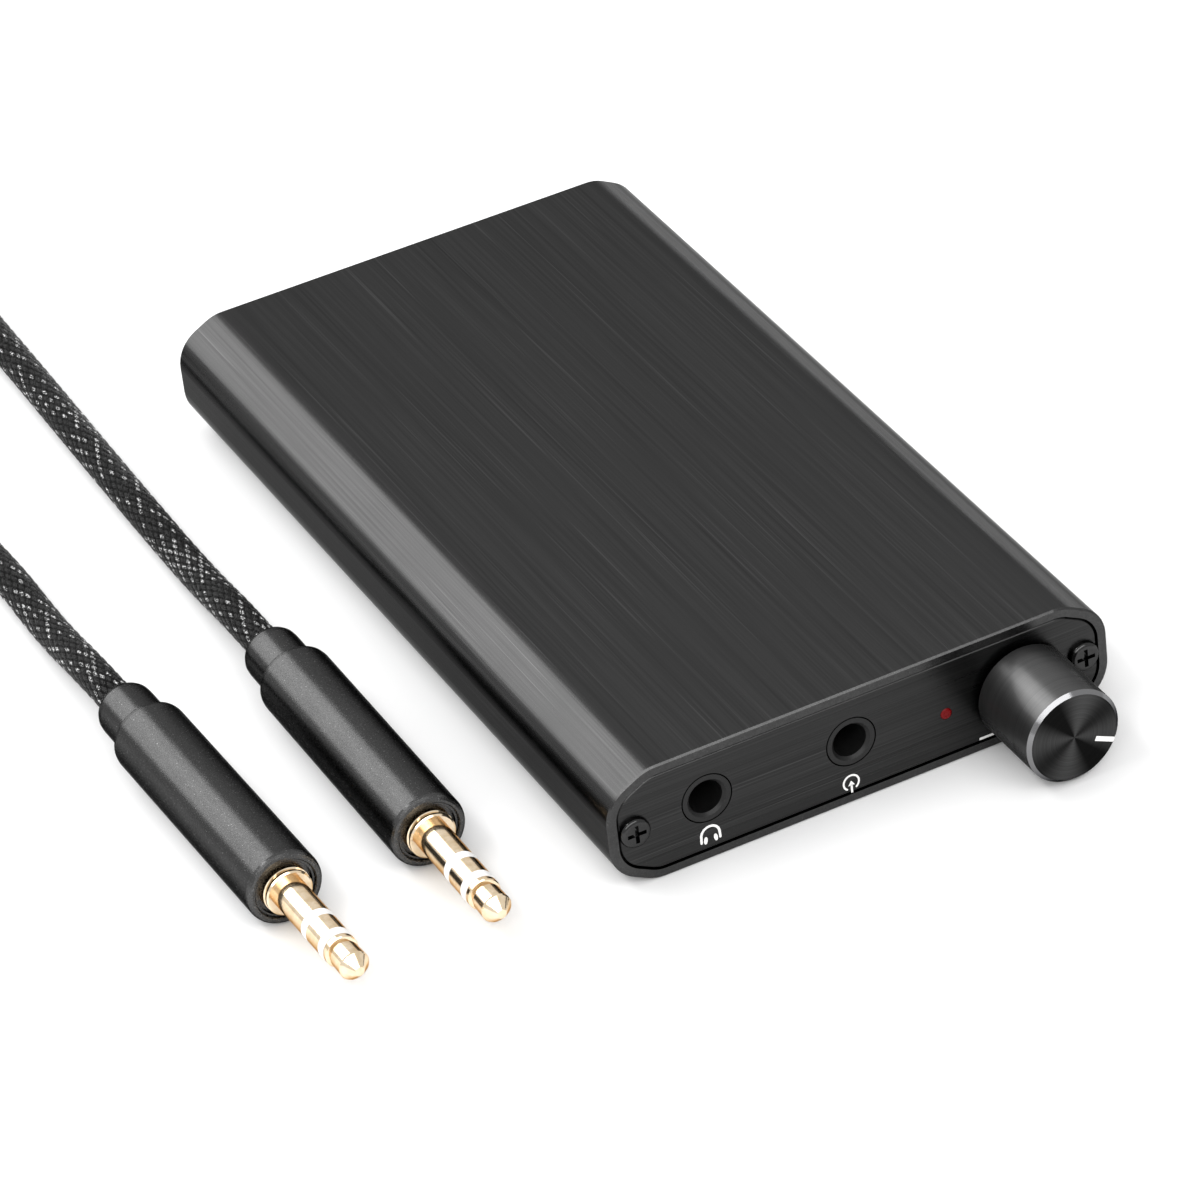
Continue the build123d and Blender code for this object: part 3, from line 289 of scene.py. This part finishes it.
def knob_metal():
    """Black turned metal: rings on the face with light and dark wedges of painted reflection, rings on the side, a
    cut bevel.
    """
    material, tree, shader = new_material(
        "knob_turned_painted_reflection", Metallic=1.0, Specular_Tint=grey(0.12), Anisotropic=0.65,
        Anisotropic_Rotation=0.25,
    )
    tangent = tangent_around_y(tree)
    parts = add(tree, "SeparateXYZ", inputs={0: place_of(tree)}).outputs
    from_axis_x = calc(tree, "SUBTRACT", parts[0], KNOB_AXIS.x)
    from_axis_z = calc(tree, "SUBTRACT", parts[2], KNOB_AXIS.z)
    squares = calc(tree, "MULTIPLY_ADD", from_axis_x, from_axis_x,
                   calc(tree, "MULTIPLY", from_axis_z, from_axis_z))
    radius = calc(tree, "SQRT", squares)
    depth = calc(tree, "SUBTRACT", parts[1], KNOB_FRONT_Y)
    on_bevel = calc(tree, "MULTIPLY", calc(tree, "GREATER_THAN", depth, FACE_DEPTH),
                    calc(tree, "LESS_THAN", depth, BEVEL_DEPTH))
    on_bevel = calc(tree, "MULTIPLY", on_bevel,
                    calc(tree, "GREATER_THAN", radius, BEVEL_INNER_RADIUS))
    rings = add(tree, "CombineXYZ", inputs={0: radius, 1: parts[1], 2: 0.0}).outputs[0]
    groove = noise(tree, (0.07 * MM, 0.07 * MM, 1.0), 3.0, rings)
    band = noise(tree, (0.5 * MM, 0.8 * MM, 1.0), 1.0, rings)
    shade = calc(tree, "MULTIPLY_ADD", groove, 0.7, calc(tree, "MULTIPLY", band, 0.3))
    side = ramp(tree, shade, (0.3, grey(0.105)), (0.7, grey(0.16)))
    # painted reflection: the face's colour turns lighter and darker in wedges around the axis, fixed to the knob
    azimuth = calc(tree, "ARCTAN2", from_axis_x, from_axis_z)
    painted_reflection_wedges = calc(tree, "COSINE", calc(tree, "MULTIPLY_ADD", azimuth, PAINTED_REFLECTION_WEDGES, PAINTED_REFLECTION_TURN))
    painted_reflection_pair = calc(tree, "SINE", calc(tree, "MULTIPLY", azimuth, PAINTED_REFLECTION_WEDGES / 2))
    painted_reflection_wedges = calc(tree, "MULTIPLY_ADD", painted_reflection_pair, PAINTED_REFLECTION_IMBALANCE, painted_reflection_wedges)
    painted_reflection_wedges = spread(tree, painted_reflection_wedges, 0.008, 0.06, (-1.0, 1.3))
    face = calc(tree, "MULTIPLY", painted_reflection_wedges, spread(tree, shade, 0.75, 1.3))
    on_face = calc(tree, "LESS_THAN", depth, FACE_DEPTH)
    colour = mixed(tree, on_face, side, face)
    colour = mixed(tree, on_bevel, colour, (0.21, 0.21, 0.215, 1.0))
    rough = spread(tree, shade, 0.33, 0.39)
    rough = calc(tree, "MULTIPLY_ADD", on_face, 0.03, rough)
    rough = calc(tree, "MULTIPLY_ADD", on_bevel, -0.19, rough)
    feed(tree, shader, Base_Color=colour, Roughness=rough, Tangent=tangent)
    bump(tree, shader, groove, 0.002 * MM)
    return material


def grained(name, dark, light, grain, roughness, depth, metallic=0.0, **constants):
    """Moulded, blasted or painted stuff: a fine grain, a soft mottle and uneven polish."""
    material, tree, shader = new_material(name, Metallic=metallic, **constants)
    fine = noise(tree, (grain, grain, grain), 2.0)
    mottle = noise(tree, (grain * 30, grain * 30, grain * 30), 3.0)
    shade = calc(tree, "MULTIPLY_ADD", fine, 0.6, calc(tree, "MULTIPLY", mottle, 0.4))
    colour = ramp(tree, shade, (0.32, (*dark, 1.0)), (0.68, (*light, 1.0)))
    rough = calc(tree, "ADD", spread(tree, fine, -0.05, 0.05), spread(tree, mottle, -0.04, 0.04))
    feed(tree, shader, Base_Color=colour, Roughness=calc(tree, "ADD", rough, roughness))
    bump(tree, shader, fine, depth)
    return material


def blasted_metal():
    """Black metal with a fine blasted grain and small bright grains among it."""
    material, tree, shader = new_material(
        "plug_blasted", Metallic=1.0, Specular_Tint=grey(0.15), Anisotropic=0.8,
        Anisotropic_Rotation=0.25,
    )
    tangent = tangent_around_y(tree)
    fine = noise(tree, (0.09 * MM, 0.09 * MM, 0.09 * MM), 2.0)
    coarse = noise(tree, (0.15 * MM, 0.15 * MM, 0.15 * MM), 1.0)
    mottle = noise(tree, (1.5 * MM, 6 * MM, 1.5 * MM), 2.0)
    shade = calc(tree, "MULTIPLY_ADD", mottle, 0.15, calc(tree, "MULTIPLY", fine, 0.85))
    colour = ramp(tree, shade, (0.35, grey(0.062)), (0.65, grey(0.1)))
    colour = mixed(tree, spread(tree, coarse, 0.0, 1.0, (0.66, 0.78)), colour, grey(0.24))
    feed(
        tree, shader, Base_Color=colour, Roughness=spread(tree, coarse, 0.23, 0.3),
        Tangent=tangent,
    )
    bump(tree, shader, fine, 0.009 * MM)
    return material


def plated(name, dark, light, roughness, edge_tint=(1.0, 1.0, 1.0), along=(0.05, 3.0, 0.05)):
    """Polished plating with fine turning marks and a slight change of tone."""
    material, tree, shader = new_material(name, Metallic=1.0, Specular_Tint=(*edge_tint, 1.0))
    marks = noise(tree, tuple(length * MM for length in along), 2.0)
    tone = noise(tree, (1.2 * MM, 1.2 * MM, 1.2 * MM), 2.0)
    colour = ramp(tree, tone, (0.35, (*dark, 1.0)), (0.65, (*light, 1.0)))
    rough = spread(tree, marks, roughness - 0.03, roughness + 0.05)
    feed(tree, shader, Base_Color=colour, Roughness=rough)
    bump(tree, shader, marks, 0.001 * MM)
    return material


def laminate():
    """Solder mask over glass cloth: the weave shows faintly, with lighter copper traces."""
    material, tree, shader = new_material("board_mask", Roughness=0.32, Coat_Weight=0.3)
    weave = add(tree, "TexChecker", inputs={"Vector": place_of(tree), "Scale": 1 / (0.45 * MM)})
    traces = add(tree, "TexBrick", inputs={
        "Vector": place_of(tree), "Scale": 1 / (3.2 * MM), "Mortar Size": 0.06,
        "Color1": grey(0.0), "Color2": grey(0.0), "Mortar": grey(1.0),
    })
    mask = ramp(tree, noise(tree, (6 * MM, 6 * MM, 6 * MM)),
                (0.3, (0.008, 0.085, 0.03, 1.0)), (0.7, (0.014, 0.12, 0.045, 1.0)))
    colour = mixed(tree, traces.outputs["Color"], mask, (0.05, 0.24, 0.09, 1.0))
    feed(tree, shader, Base_Color=colour)
    bump(tree, shader, weave.outputs["Fac"], 0.01 * MM, 0.4)
    return material


LIGHT_STRANDS_ABOVE = 0.7


def braid_cloth():
    """Black yarn: each strand has its own tone and fine threads, with painted shade where the relief is low
    between the strands; some strands have light flecks, light yarn on their crowns that is partly a painted glint.
    """
    material, tree, shader = new_material("cord_braid", Specular_IOR_Level=0.12)
    relief = add(tree, "Attribute", {"attribute_name": "relief"}).outputs["Fac"]
    strand = add(tree, "Attribute", {"attribute_name": "strand"}).outputs["Fac"]
    thread = add(tree, "Attribute", {"attribute_name": "thread"}).outputs["Fac"]
    fleck = noise(tree, (0.16 * MM, 0.16 * MM, 0.16 * MM), 1.0)
    # painted shade: the colour is darker where the relief is low, in the hollows between the strands
    shade = calc(tree, "MULTIPLY_ADD", strand, 0.5, calc(tree, "MULTIPLY", relief, 0.5))
    colour = ramp(tree, shade, (0.3, grey(0.0005)), (0.85, grey(0.006)))
    # light yarn flecks on some strands, shown only on the crowns: partly the yarn's own colour, partly a painted
    # glint
    light = calc(tree, "GREATER_THAN", strand, LIGHT_STRANDS_ABOVE)
    light = calc(tree, "MULTIPLY", light, spread(tree, fleck, 0.0, 1.0, (0.5, 0.6)))
    light = calc(tree, "MULTIPLY", light, spread(tree, relief, 0.0, 1.0, (0.55, 0.9)))
    colour = mixed(tree, light, colour, grey(0.75))
    ridge = calc(tree, "SINE", calc(tree, "MULTIPLY", thread, 2 * math.pi))
    feed(tree, shader, Base_Color=colour, Roughness=spread(tree, fleck, 0.25, 0.5))
    bump(tree, shader, calc(tree, "MULTIPLY_ADD", ridge, 0.5, fleck), 0.03 * MM)
    return material


def woven(name, dark, light, pitch):
    """Plain woven tape."""
    material, tree, shader = new_material(name, Roughness=0.8, Sheen_Weight=0.4)
    checks = add(tree, "TexChecker", inputs={"Vector": place_of(tree), "Scale": 1 / pitch})
    fibre = noise(tree, (pitch / 6, pitch, pitch), 2.0)
    shade = calc(tree, "MULTIPLY_ADD", checks.outputs["Fac"], 0.4,
                 calc(tree, "MULTIPLY", fibre, 0.6))
    feed(tree, shader, Base_Color=ramp(tree, shade, (0.2, grey(dark)), (0.8, grey(light))))
    bump(tree, shader, shade, pitch / 4)
    return material


def make_materials():
    """One finish for each of the record's material slots."""
    return {
        "case_aluminium": brushed_metal("case_brushed", "Y", 0.046, 0.068, 0.24, 0.42, 0.003 * MM),
        "panel_aluminium": brushed_metal("panel_brushed", "X", 0.028, 0.045, 0.3, 0.6, 0.004 * MM),
        "black_steel": grained("screw_steel", (0.035,) * 3, (0.055,) * 3, 0.12 * MM, 0.17,
                               0.003 * MM, 1.0, Specular_Tint=grey(0.6)),
        "knob_aluminium": knob_metal(),
        "black_plastic": grained("black_moulding", (0.003,) * 3, (0.008,) * 3, 0.1 * MM, 0.42,
                                 0.01 * MM, Specular_IOR_Level=0.3),
        "white_plastic": grained("white_moulding", (0.84, 0.835, 0.82), (0.92, 0.915, 0.9),
                                 0.1 * MM, 0.35, 0.004 * MM),
        "chip_epoxy": grained("chip_moulding", (0.02,) * 3, (0.035,) * 3, 0.06 * MM, 0.6,
                              0.01 * MM),
        "tinned_metal": plated("tin_plate", (0.62, 0.62, 0.6), (0.78, 0.78, 0.76), 0.3),
        "spring_bronze": plated("bronze_strip", (0.62, 0.4, 0.2), (0.75, 0.52, 0.3), 0.25),
        "zinc_can": plated("zinc_plate", (0.45, 0.45, 0.46), (0.6, 0.6, 0.61), 0.35),
        "board_laminate": laminate(),
        "phenolic": grained("phenolic_sheet", (0.25, 0.13, 0.05), (0.36, 0.2, 0.09), 0.15 * MM, 0.5,
                            0.01 * MM),
        "capacitor_aluminium": plated("can_aluminium", (0.6, 0.6, 0.62), (0.75, 0.75, 0.77), 0.28),
        "ceramic": grained("ceramic_body", (0.45, 0.33, 0.2), (0.6, 0.46, 0.3), 0.05 * MM, 0.45,
                           0.004 * MM),
        "ferrite": grained("ferrite_core", (0.035,) * 3, (0.06,) * 3, 0.08 * MM, 0.7, 0.015 * MM),
        "led_red": grained("red_lens", (0.11, 0.001, 0.002), (0.17, 0.002, 0.003), 0.2 * MM, 0.3,
                           0.003 * MM, Specular_IOR_Level=0.15),
        "cell_foil": brushed_metal("foil_pouch", "X", 0.5, 0.66, 0.4, 1.0, 0.01 * MM),
        "foam_tape": grained("foam", (0.3,) * 3, (0.45,) * 3, 0.25 * MM, 0.9, 0.08 * MM),
        "wire_red": grained("red_wire", (0.42, 0.01, 0.01), (0.55, 0.02, 0.02), 0.1 * MM, 0.4,
                            0.004 * MM),
        "wire_black": grained("black_wire", (0.015,) * 3, (0.025,) * 3, 0.1 * MM, 0.4,
                              0.004 * MM),
        "gold_contact": plated("gold_plate", (0.8, 0.63, 0.42), (0.95, 0.8, 0.6), 0.12,
                               edge_tint=(0.5, 0.3, 0.15)),
        "plug_aluminium": blasted_metal(),
        "braid": braid_cloth(),
        "strap_fabric": woven("strap_weave", 0.006, 0.02, 0.35 * MM),
    }


# Pieces

def make_piece(name, vertices, faces, body, material, smooth=False):
    """A mesh piece that rides on a body and takes its finish from a slot."""
    mesh = bpy.data.meshes.new(name)
    mesh.from_pydata([tuple(vertex) for vertex in vertices], [], faces)
    mesh.validate()
    mesh.polygons.foreach_set("use_smooth", np.full(len(mesh.polygons), smooth))
    mesh.materials.append(material)
    piece = bpy.data.objects.new(name, mesh)
    SCENE.collection.objects.link(piece)
    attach(piece, body)
    return piece


def prism(outline, base, top):
    """A closed prism of an outline of (x, z) points, from y = base to y = top, facing -Y."""
    count = len(outline)
    vertices = [(x, top, z) for x, z in outline] + [(x, base, z) for x, z in outline]
    faces = [tuple(range(count)), tuple(range(2 * count - 1, count - 1, -1))]
    for index in range(count):
        following = (index + 1) % count
        faces.append((index, index + count, following + count, following))
    return vertices, faces


def stroke(points, width):
    """The outline of a line of that width through (x, z) points, with round ends."""
    places = [Vector(point) for point in points]
    left, right = [], []
    for index, place in enumerate(places):
        ahead = places[min(index + 1, len(places) - 1)]
        behind = places[max(index - 1, 0)]
        direction = (ahead - behind).normalized()
        normal = Vector((-direction.y, direction.x)) * width / 2
        left.append(place + normal)
        right.append(place - normal)

    def cap(centre, start):
        offset = start - centre
        turns = [Matrix.Rotation(math.radians(-angle), 2) for angle in (45, 90, 135)]
        return [centre + turn @ offset for turn in turns]

    end_cap = cap(places[-1], left[-1])
    start_cap = cap(places[0], right[0])
    return left + end_cap + right[::-1] + start_cap


def ellipse(centre, half_width, half_height, tilt, count=20):
    """The outline of a tilted ellipse, as points in the order that prism needs."""
    turn = Matrix.Rotation(tilt, 2)
    points = []
    for step in range(count):
        angle = -2 * math.pi * step / count
        offset = turn @ Vector((half_width * math.cos(angle), half_height * math.sin(angle)))
        points.append(Vector(centre) + offset)
    return points


PRINT_THICKNESS = 0.03 * MM


def make_print(name, outlines, centre, material):
    """White marks that stand proud of the front panel by the thickness of the ink."""
    vertices, faces = [], []
    for outline in outlines:
        places = [(centre[0] + x * MM, centre[1] + z * MM) for x, z in outline]
        more, more_faces = prism(
            places, PANEL_FACE_Y + PRINT_THICKNESS, PANEL_FACE_Y - PRINT_THICKNESS,
        )
        faces += [tuple(index + len(vertices) for index in face) for face in more_faces]
        vertices += more
    return make_piece(name, vertices, faces, "amplifier", material)


def arc(centre, radius, start, end, count=28):
    """Points on an arc, in degrees from +X."""
    points = []
    for step in range(count + 1):
        angle = math.radians(start + (end - start) * step / count)
        points.append((
            centre[0] + radius * math.cos(angle),
            centre[1] + radius * math.sin(angle),
        ))
    return points


LESS_MARK_PLACE = (13.63 * MM, 1.44 * MM)
MORE_MARK_PLACE = (23.0 * MM, 2.6 * MM)


def make_marks(ink):
    """The printed signs: headphones, line in, and less and more beside the knob.

    Outlines are in millimetres about each sign's own centre.
    """
    headphone = MOUNTS["headphone_socket"]
    line_in = MOUNTS["input_socket"]
    band = [
        (1.02, -0.66), (1.01, -0.33), *arc((0.0, 0.0), 0.99, 0, 180),
        (-1.01, -0.33), (-1.02, -0.66),
    ]
    pads = [
        ellipse((-0.55, -0.52), 0.2, 0.42, math.radians(-8)),
        ellipse((0.55, -0.52), 0.2, 0.42, math.radians(8)),
    ]
    place = (headphone.x - 0.08 * MM, 2.72 * MM)
    make_print("headphone_mark", [stroke(band, 0.25)] + pads, place, ink)
    ring = arc((0.0, 0.2), 0.84, -52, 232)
    arrow_head = [(0.0, 0.42), (0.36, -0.12), (-0.36, -0.12)]
    arrow_stem = [(-0.11, -0.05), (0.11, -0.05), (0.11, -0.98), (-0.11, -0.98)]
    place = (line_in.x - 0.42 * MM, 2.1 * MM)
    make_print("line_in_mark", [stroke(ring, 0.2), arrow_head, arrow_stem], place, ink)
    less = [(-0.9, 0.13), (0.9, 0.13), (0.9, -0.13), (-0.9, -0.13)]
    make_print("less_mark", [less], LESS_MARK_PLACE, ink)
    more = [
        (-0.55, 0.12), (-0.12, 0.12), (-0.12, 0.55), (0.12, 0.55), (0.12, 0.12), (0.55, 0.12),
        (0.55, -0.12), (0.12, -0.12), (0.12, -0.55), (-0.12, -0.55), (-0.12, -0.12), (-0.55, -0.12),
    ]
    make_print("more_mark", [more], MORE_MARK_PLACE, ink)


INDEX_ANGLE = math.radians(115)


def make_index(ink):
    """White paint that fills the knob's notch and follows its bevel."""
    half_width = 0.265 * MM
    start = 2.53 * MM  # distance from the knob's axis
    depth, proud = 0.29 * MM, 0.012 * MM  # below and above the face
    rim = KNOB_RADIUS - KNOB_BEVEL
    profile = [
        (start, depth), (start, -proud), (rim, -proud),
        (rim + depth + proud, depth),
    ]
    vertices = []
    for side in (-half_width, half_width):
        for radius, into in profile:
            offset = Vector((side, 0.0, radius))
            turned = Matrix.Rotation(INDEX_ANGLE, 3, "Y") @ offset
            vertices.append((KNOB_AXIS.x + turned.x, KNOB_FRONT_Y + into, KNOB_AXIS.z + turned.z))
    faces = [(0, 1, 2, 3), (7, 6, 5, 4), (0, 4, 5, 1), (1, 5, 6, 2), (2, 6, 7, 3), (3, 7, 4, 0)]
    make_piece("knob_index", vertices, faces, "volume", ink)


# The lead's cord: its route is the list that the CAD part holds

COIL_CENTRE = (-0.061, 0.132)
COIL_OUTER_TURN_RADIUS = 0.0225
COIL_INNER_TURN_RADIUS = 0.0188
ROUTE_A = [
    (-0.0560, 0.0061, 0.0040),
    (-0.0562, 0.0136, 0.0040),
    (-0.0559, 0.0255, 0.00185),
    (-0.0556, 0.0380, 0.00185),
    (-0.0566, 0.0540, 0.00185),
    (-0.0616, 0.0730, 0.00185),
    (-0.0702, 0.0900, 0.00185),
    (-0.0788, 0.1050, 0.00185),
    (-0.0833, 0.1190, 0.00185),
]
ROUTE_B = [
    (-0.0385, 0.1210, 0.0053),
    (-0.0384, 0.1070, 0.0025),
    (-0.0383, 0.0900, 0.00185),
    (-0.0386, 0.0680, 0.00185),
    (-0.0390, 0.0460, 0.00185),
    (-0.0392, 0.0255, 0.00185),
    (-0.03975, 0.0138, 0.0040),
    (-0.03975, 0.0063, 0.0040),
]
TIE_ANGLE = math.radians(90)
TIE_LIFT = 0.5 * MM


def eased(value, start, end):
    """0 before start, 1 after end, eased between them."""
    t = min(max((value - start) / (end - start), 0.0), 1.0)
    return t * t * (3 - 2 * t)


def coil_points():
    """Two and a half clockwise turns: outside, inside, and half a turn on top of both."""
    points_per_turn = 16
    turns = 2.5
    step_angle = 2 * math.pi / points_per_turn
    outward = 1 / math.cos(step_angle / 2)
    spacing = COIL_OUTER_TURN_RADIUS - COIL_INNER_TURN_RADIUS
    points = []
    for step in range(int(turns * points_per_turn) + 1):
        turn = step / points_per_turn
        radius = COIL_OUTER_TURN_RADIUS - spacing * eased(turn, 0.6, 1.0)
        radius += spacing * (0.5 * eased(turn, 1.75, 2.05) + 0.5 * eased(turn, 2.25, 2.5))
        height = CORD_RADIUS + CORD_RADIUS * math.sqrt(3) * eased(turn, 1.75, 2.05)
        height += 0.2 * CORD_RADIUS * eased(turn, 2.3, 2.5)
        angle = math.pi - step * step_angle
        near_tie = math.cos(angle - TIE_ANGLE)
        height += TIE_LIFT * eased(near_tie, 0.5, 0.98)
        points.append((
            COIL_CENTRE[0] + radius * outward * math.cos(angle),
            COIL_CENTRE[1] + radius * outward * math.sin(angle),
            height,
        ))
    return points


def route_line():
    """Points along the smooth spline through the route."""
    points = ROUTE_A + coil_points() + ROUTE_B
    data = bpy.data.curves.new("lead_route", "CURVE")
    data.dimensions = "3D"
    spline = data.splines.new("NURBS")
    spline.points.add(len(points) - 1)
    for point, place in zip(spline.points, points):
        point.co = (*place, 1.0)
    spline.order_u = 3
    spline.use_endpoint_u = True
    spline.resolution_u = 24
    curve = bpy.data.objects.new("lead_route", data)
    SCENE.collection.objects.link(curve)
    depsgraph = bpy.context.evaluated_depsgraph_get()
    line = bpy.data.meshes.new_from_object(curve.evaluated_get(depsgraph))
    places = np.array([vertex.co[:] for vertex in line.vertices])
    bpy.data.objects.remove(curve)
    bpy.data.meshes.remove(line)
    return places


def evenly(places, step):
    """The line's points at even steps, and how far along each one is."""
    gaps = np.linalg.norm(np.diff(places, axis=0), axis=1)
    places = places[np.concatenate([[True], gaps > 1e-9])]
    along = np.concatenate([[0.0], np.cumsum(gaps[gaps > 1e-9])])
    wanted = np.linspace(0.0, along[-1], int(along[-1] / step) + 1)
    line = np.stack([np.interp(wanted, along, places[:, axis]) for axis in range(3)], axis=1)
    return line, wanted


def carried_frames(line):
    """Two directions across the line at each point, carried along it without twist."""
    tangents = np.gradient(line, axis=0)
    tangents /= np.linalg.norm(tangents, axis=1)[:, None]
    across = np.zeros_like(line)
    current = np.array([0.0, 0.0, -1.0])
    for index, tangent in enumerate(tangents):
        current = current - tangent * current.dot(tangent)
        current /= np.linalg.norm(current)
        across[index] = current
    return across, np.cross(tangents, across)


STRANDS_EACH_WAY = 16
CROSSING_LENGTH = 0.95 * MM
BRAID_RELIEF = 0.17 * MM
THREADS_PER_STRAND = 4
CORD_SEGMENTS = 80
CORD_STEP = 0.22 * MM


def strand_shade(strand):
    """A shade from 0 to 1 for each strand number: it looks random, and never changes."""
    return np.modf(np.abs(np.sin(strand * 12.9898) * 43758.5453))[0]


def braid_surface(angles, along):
    """A plain braid's height, a number for each strand, and the count of threads across it."""
    turns = angles[None, :] * STRANDS_EACH_WAY / (2 * math.pi)
    run = along[:, None] / (2 * CROSSING_LENGTH)
    right, left = turns + run, turns - run
    right_cell, left_cell = np.floor(right), np.floor(left)
    right_crown = np.sin(np.pi * (right - right_cell))
    left_crown = np.sin(np.pi * (left - left_cell))
    over = (right_cell + left_cell) % 2 == 0
    upper = np.where(over, right_crown, left_crown)
    lower = np.where(over, left_crown, right_crown)
    relief = upper ** 0.6 * (0.35 + 0.65 * lower ** 0.5)
    strand = np.where(over, right_cell * 7.13, left_cell * 3.71 + 50)
    thread = np.where(over, right, left) * THREADS_PER_STRAND
    return relief, strand_shade(strand), thread


def make_cord_mesh(line, along):
    """A closed tube with the braid's relief in its surface."""
    segments = CORD_SEGMENTS
    across, side = carried_frames(line)
    angles = np.arange(segments) * 2 * math.pi / segments
    relief, shade, thread = braid_surface(angles, along)
    radius = CORD_RADIUS - BRAID_RELIEF + BRAID_RELIEF * relief
    rings = (
        line[:, None, :]
        + (radius * np.cos(angles))[:, :, None] * across[:, None, :]
        + (radius * np.sin(angles))[:, :, None] * side[:, None, :]
    )
    count = len(line)
    vertices = np.concatenate([rings.reshape(-1, 3), line[:1], line[-1:]])
    ring = np.arange(segments)
    following = (ring + 1) % segments
    start = (np.arange(count - 1) * segments)[:, None]
    quads = np.stack([
        start + ring, start + following,
        start + segments + following, start + segments + ring,
    ], axis=2).reshape(-1, 4)
    last = (count - 1) * segments
    first_centre, last_centre = count * segments, count * segments + 1
    caps = [(first_centre, int(b), int(a)) for a, b in zip(ring, following)]
    caps += [(last_centre, int(last + a), int(last + b)) for a, b in zip(ring, following)]
    mesh = bpy.data.meshes.new("lead_cord")
    mesh.from_pydata(vertices.tolist(), [], quads.tolist() + caps)
    for name, values in (("relief", relief), ("strand", shade), ("thread", thread)):
        attribute = mesh.attributes.new(name, "FLOAT", "POINT")
        with_centres = np.concatenate([values.ravel(), [0.5, 0.5]])
        attribute.data.foreach_set("value", with_centres.astype(np.float32))
    mesh.polygons.foreach_set("use_smooth", np.ones(len(mesh.polygons), dtype=bool))
    return mesh


def make_cord(material):
    line, along = evenly(route_line(), CORD_STEP)
    mesh = make_cord_mesh(line, along)
    mesh.materials.append(material)
    cord = bpy.data.objects.new("lead_cord", mesh)
    SCENE.collection.objects.link(cord)
    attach(cord, "amplifier")
    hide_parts("lead_cord_a", "lead_cord_b", "lead_coil")
    return cord, line


STRAP_GAP = 0.04 * MM
STRAP_TAIL_ANGLE = 1.9  # where its tail laps over, in radians around the bundle
STRAP_EDGE_THINNING = 0.6


def make_tie(line, material):
    """The strap around the coil: a woven band with its tail lapped over and rounded corners."""
    at_x = COIL_CENTRE[0]
    on_far_side = line[1:, 1] > COIL_CENTRE[1]
    crosses = (line[:-1, 0] - at_x) * (line[1:, 0] - at_x) <= 0
    centres = line[1:, 1:][on_far_side & crosses]
    across_steps, around_steps = 12, 120
    half_width, thickness, lap = 3.0 * MM, 0.42 * MM, 0.4 * MM
    vertices, rows = [], []
    for column in range(across_steps + 1):
        shift = half_width * (2 * column / across_steps - 1)
        thin = STRAP_EDGE_THINNING if column in (0, across_steps) else 1.0
        for outer in (False, True):
            row = []
            for step in range(around_steps):
                angle = 2 * math.pi * step / around_steps
                direction = np.array([math.cos(angle), math.sin(angle)])
                reach = CORD_RADIUS + STRAP_GAP
                if outer:
                    tail = eased(math.cos(angle - STRAP_TAIL_ANGLE), 0.1, 0.2)
                    reach += (thickness + lap * tail) * thin
                best = centres[np.argmax(centres @ direction)] + direction * reach
                row.append(len(vertices))
                vertices.append((at_x + shift, best[0], best[1]))
            rows.append(row)
    faces = []
    for column in range(across_steps):
        inner, outer = rows[2 * column], rows[2 * column + 1]
        next_inner, next_outer = rows[2 * column + 2], rows[2 * column + 3]
        for step in range(around_steps):
            after = (step + 1) % around_steps
            faces.append((outer[step], outer[after], next_outer[after], next_outer[step]))
            faces.append((inner[after], inner[step], next_inner[step], next_inner[after]))
    for inner, outer, flip in ((rows[0], rows[1], False), (rows[-2], rows[-1], True)):
        for step in range(around_steps):
            after = (step + 1) % around_steps
            face = (inner[step], inner[after], outer[after], outer[step])
            faces.append(face[::-1] if flip else face)
    tie = make_piece("lead_strap", vertices, faces, "amplifier", material, True)
    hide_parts("lead_tie")
    return tie


def dress_cad(materials):
    """Give each CAD node the finish of its slot."""
    for node in NODES.values():
        for slot in node.material_slots:
            name = slot.material.name.split(".")[0]
            slot.material = materials[name]


make_camera()
MATERIALS = make_materials()
lead_cord, cord_line = make_cord(MATERIALS["braid"])
lead_strap = make_tie(cord_line, MATERIALS["strap_fabric"])
make_studio()
dress_cad(MATERIALS)
make_marks(MATERIALS["white_plastic"])
make_index(MATERIALS["white_plastic"])
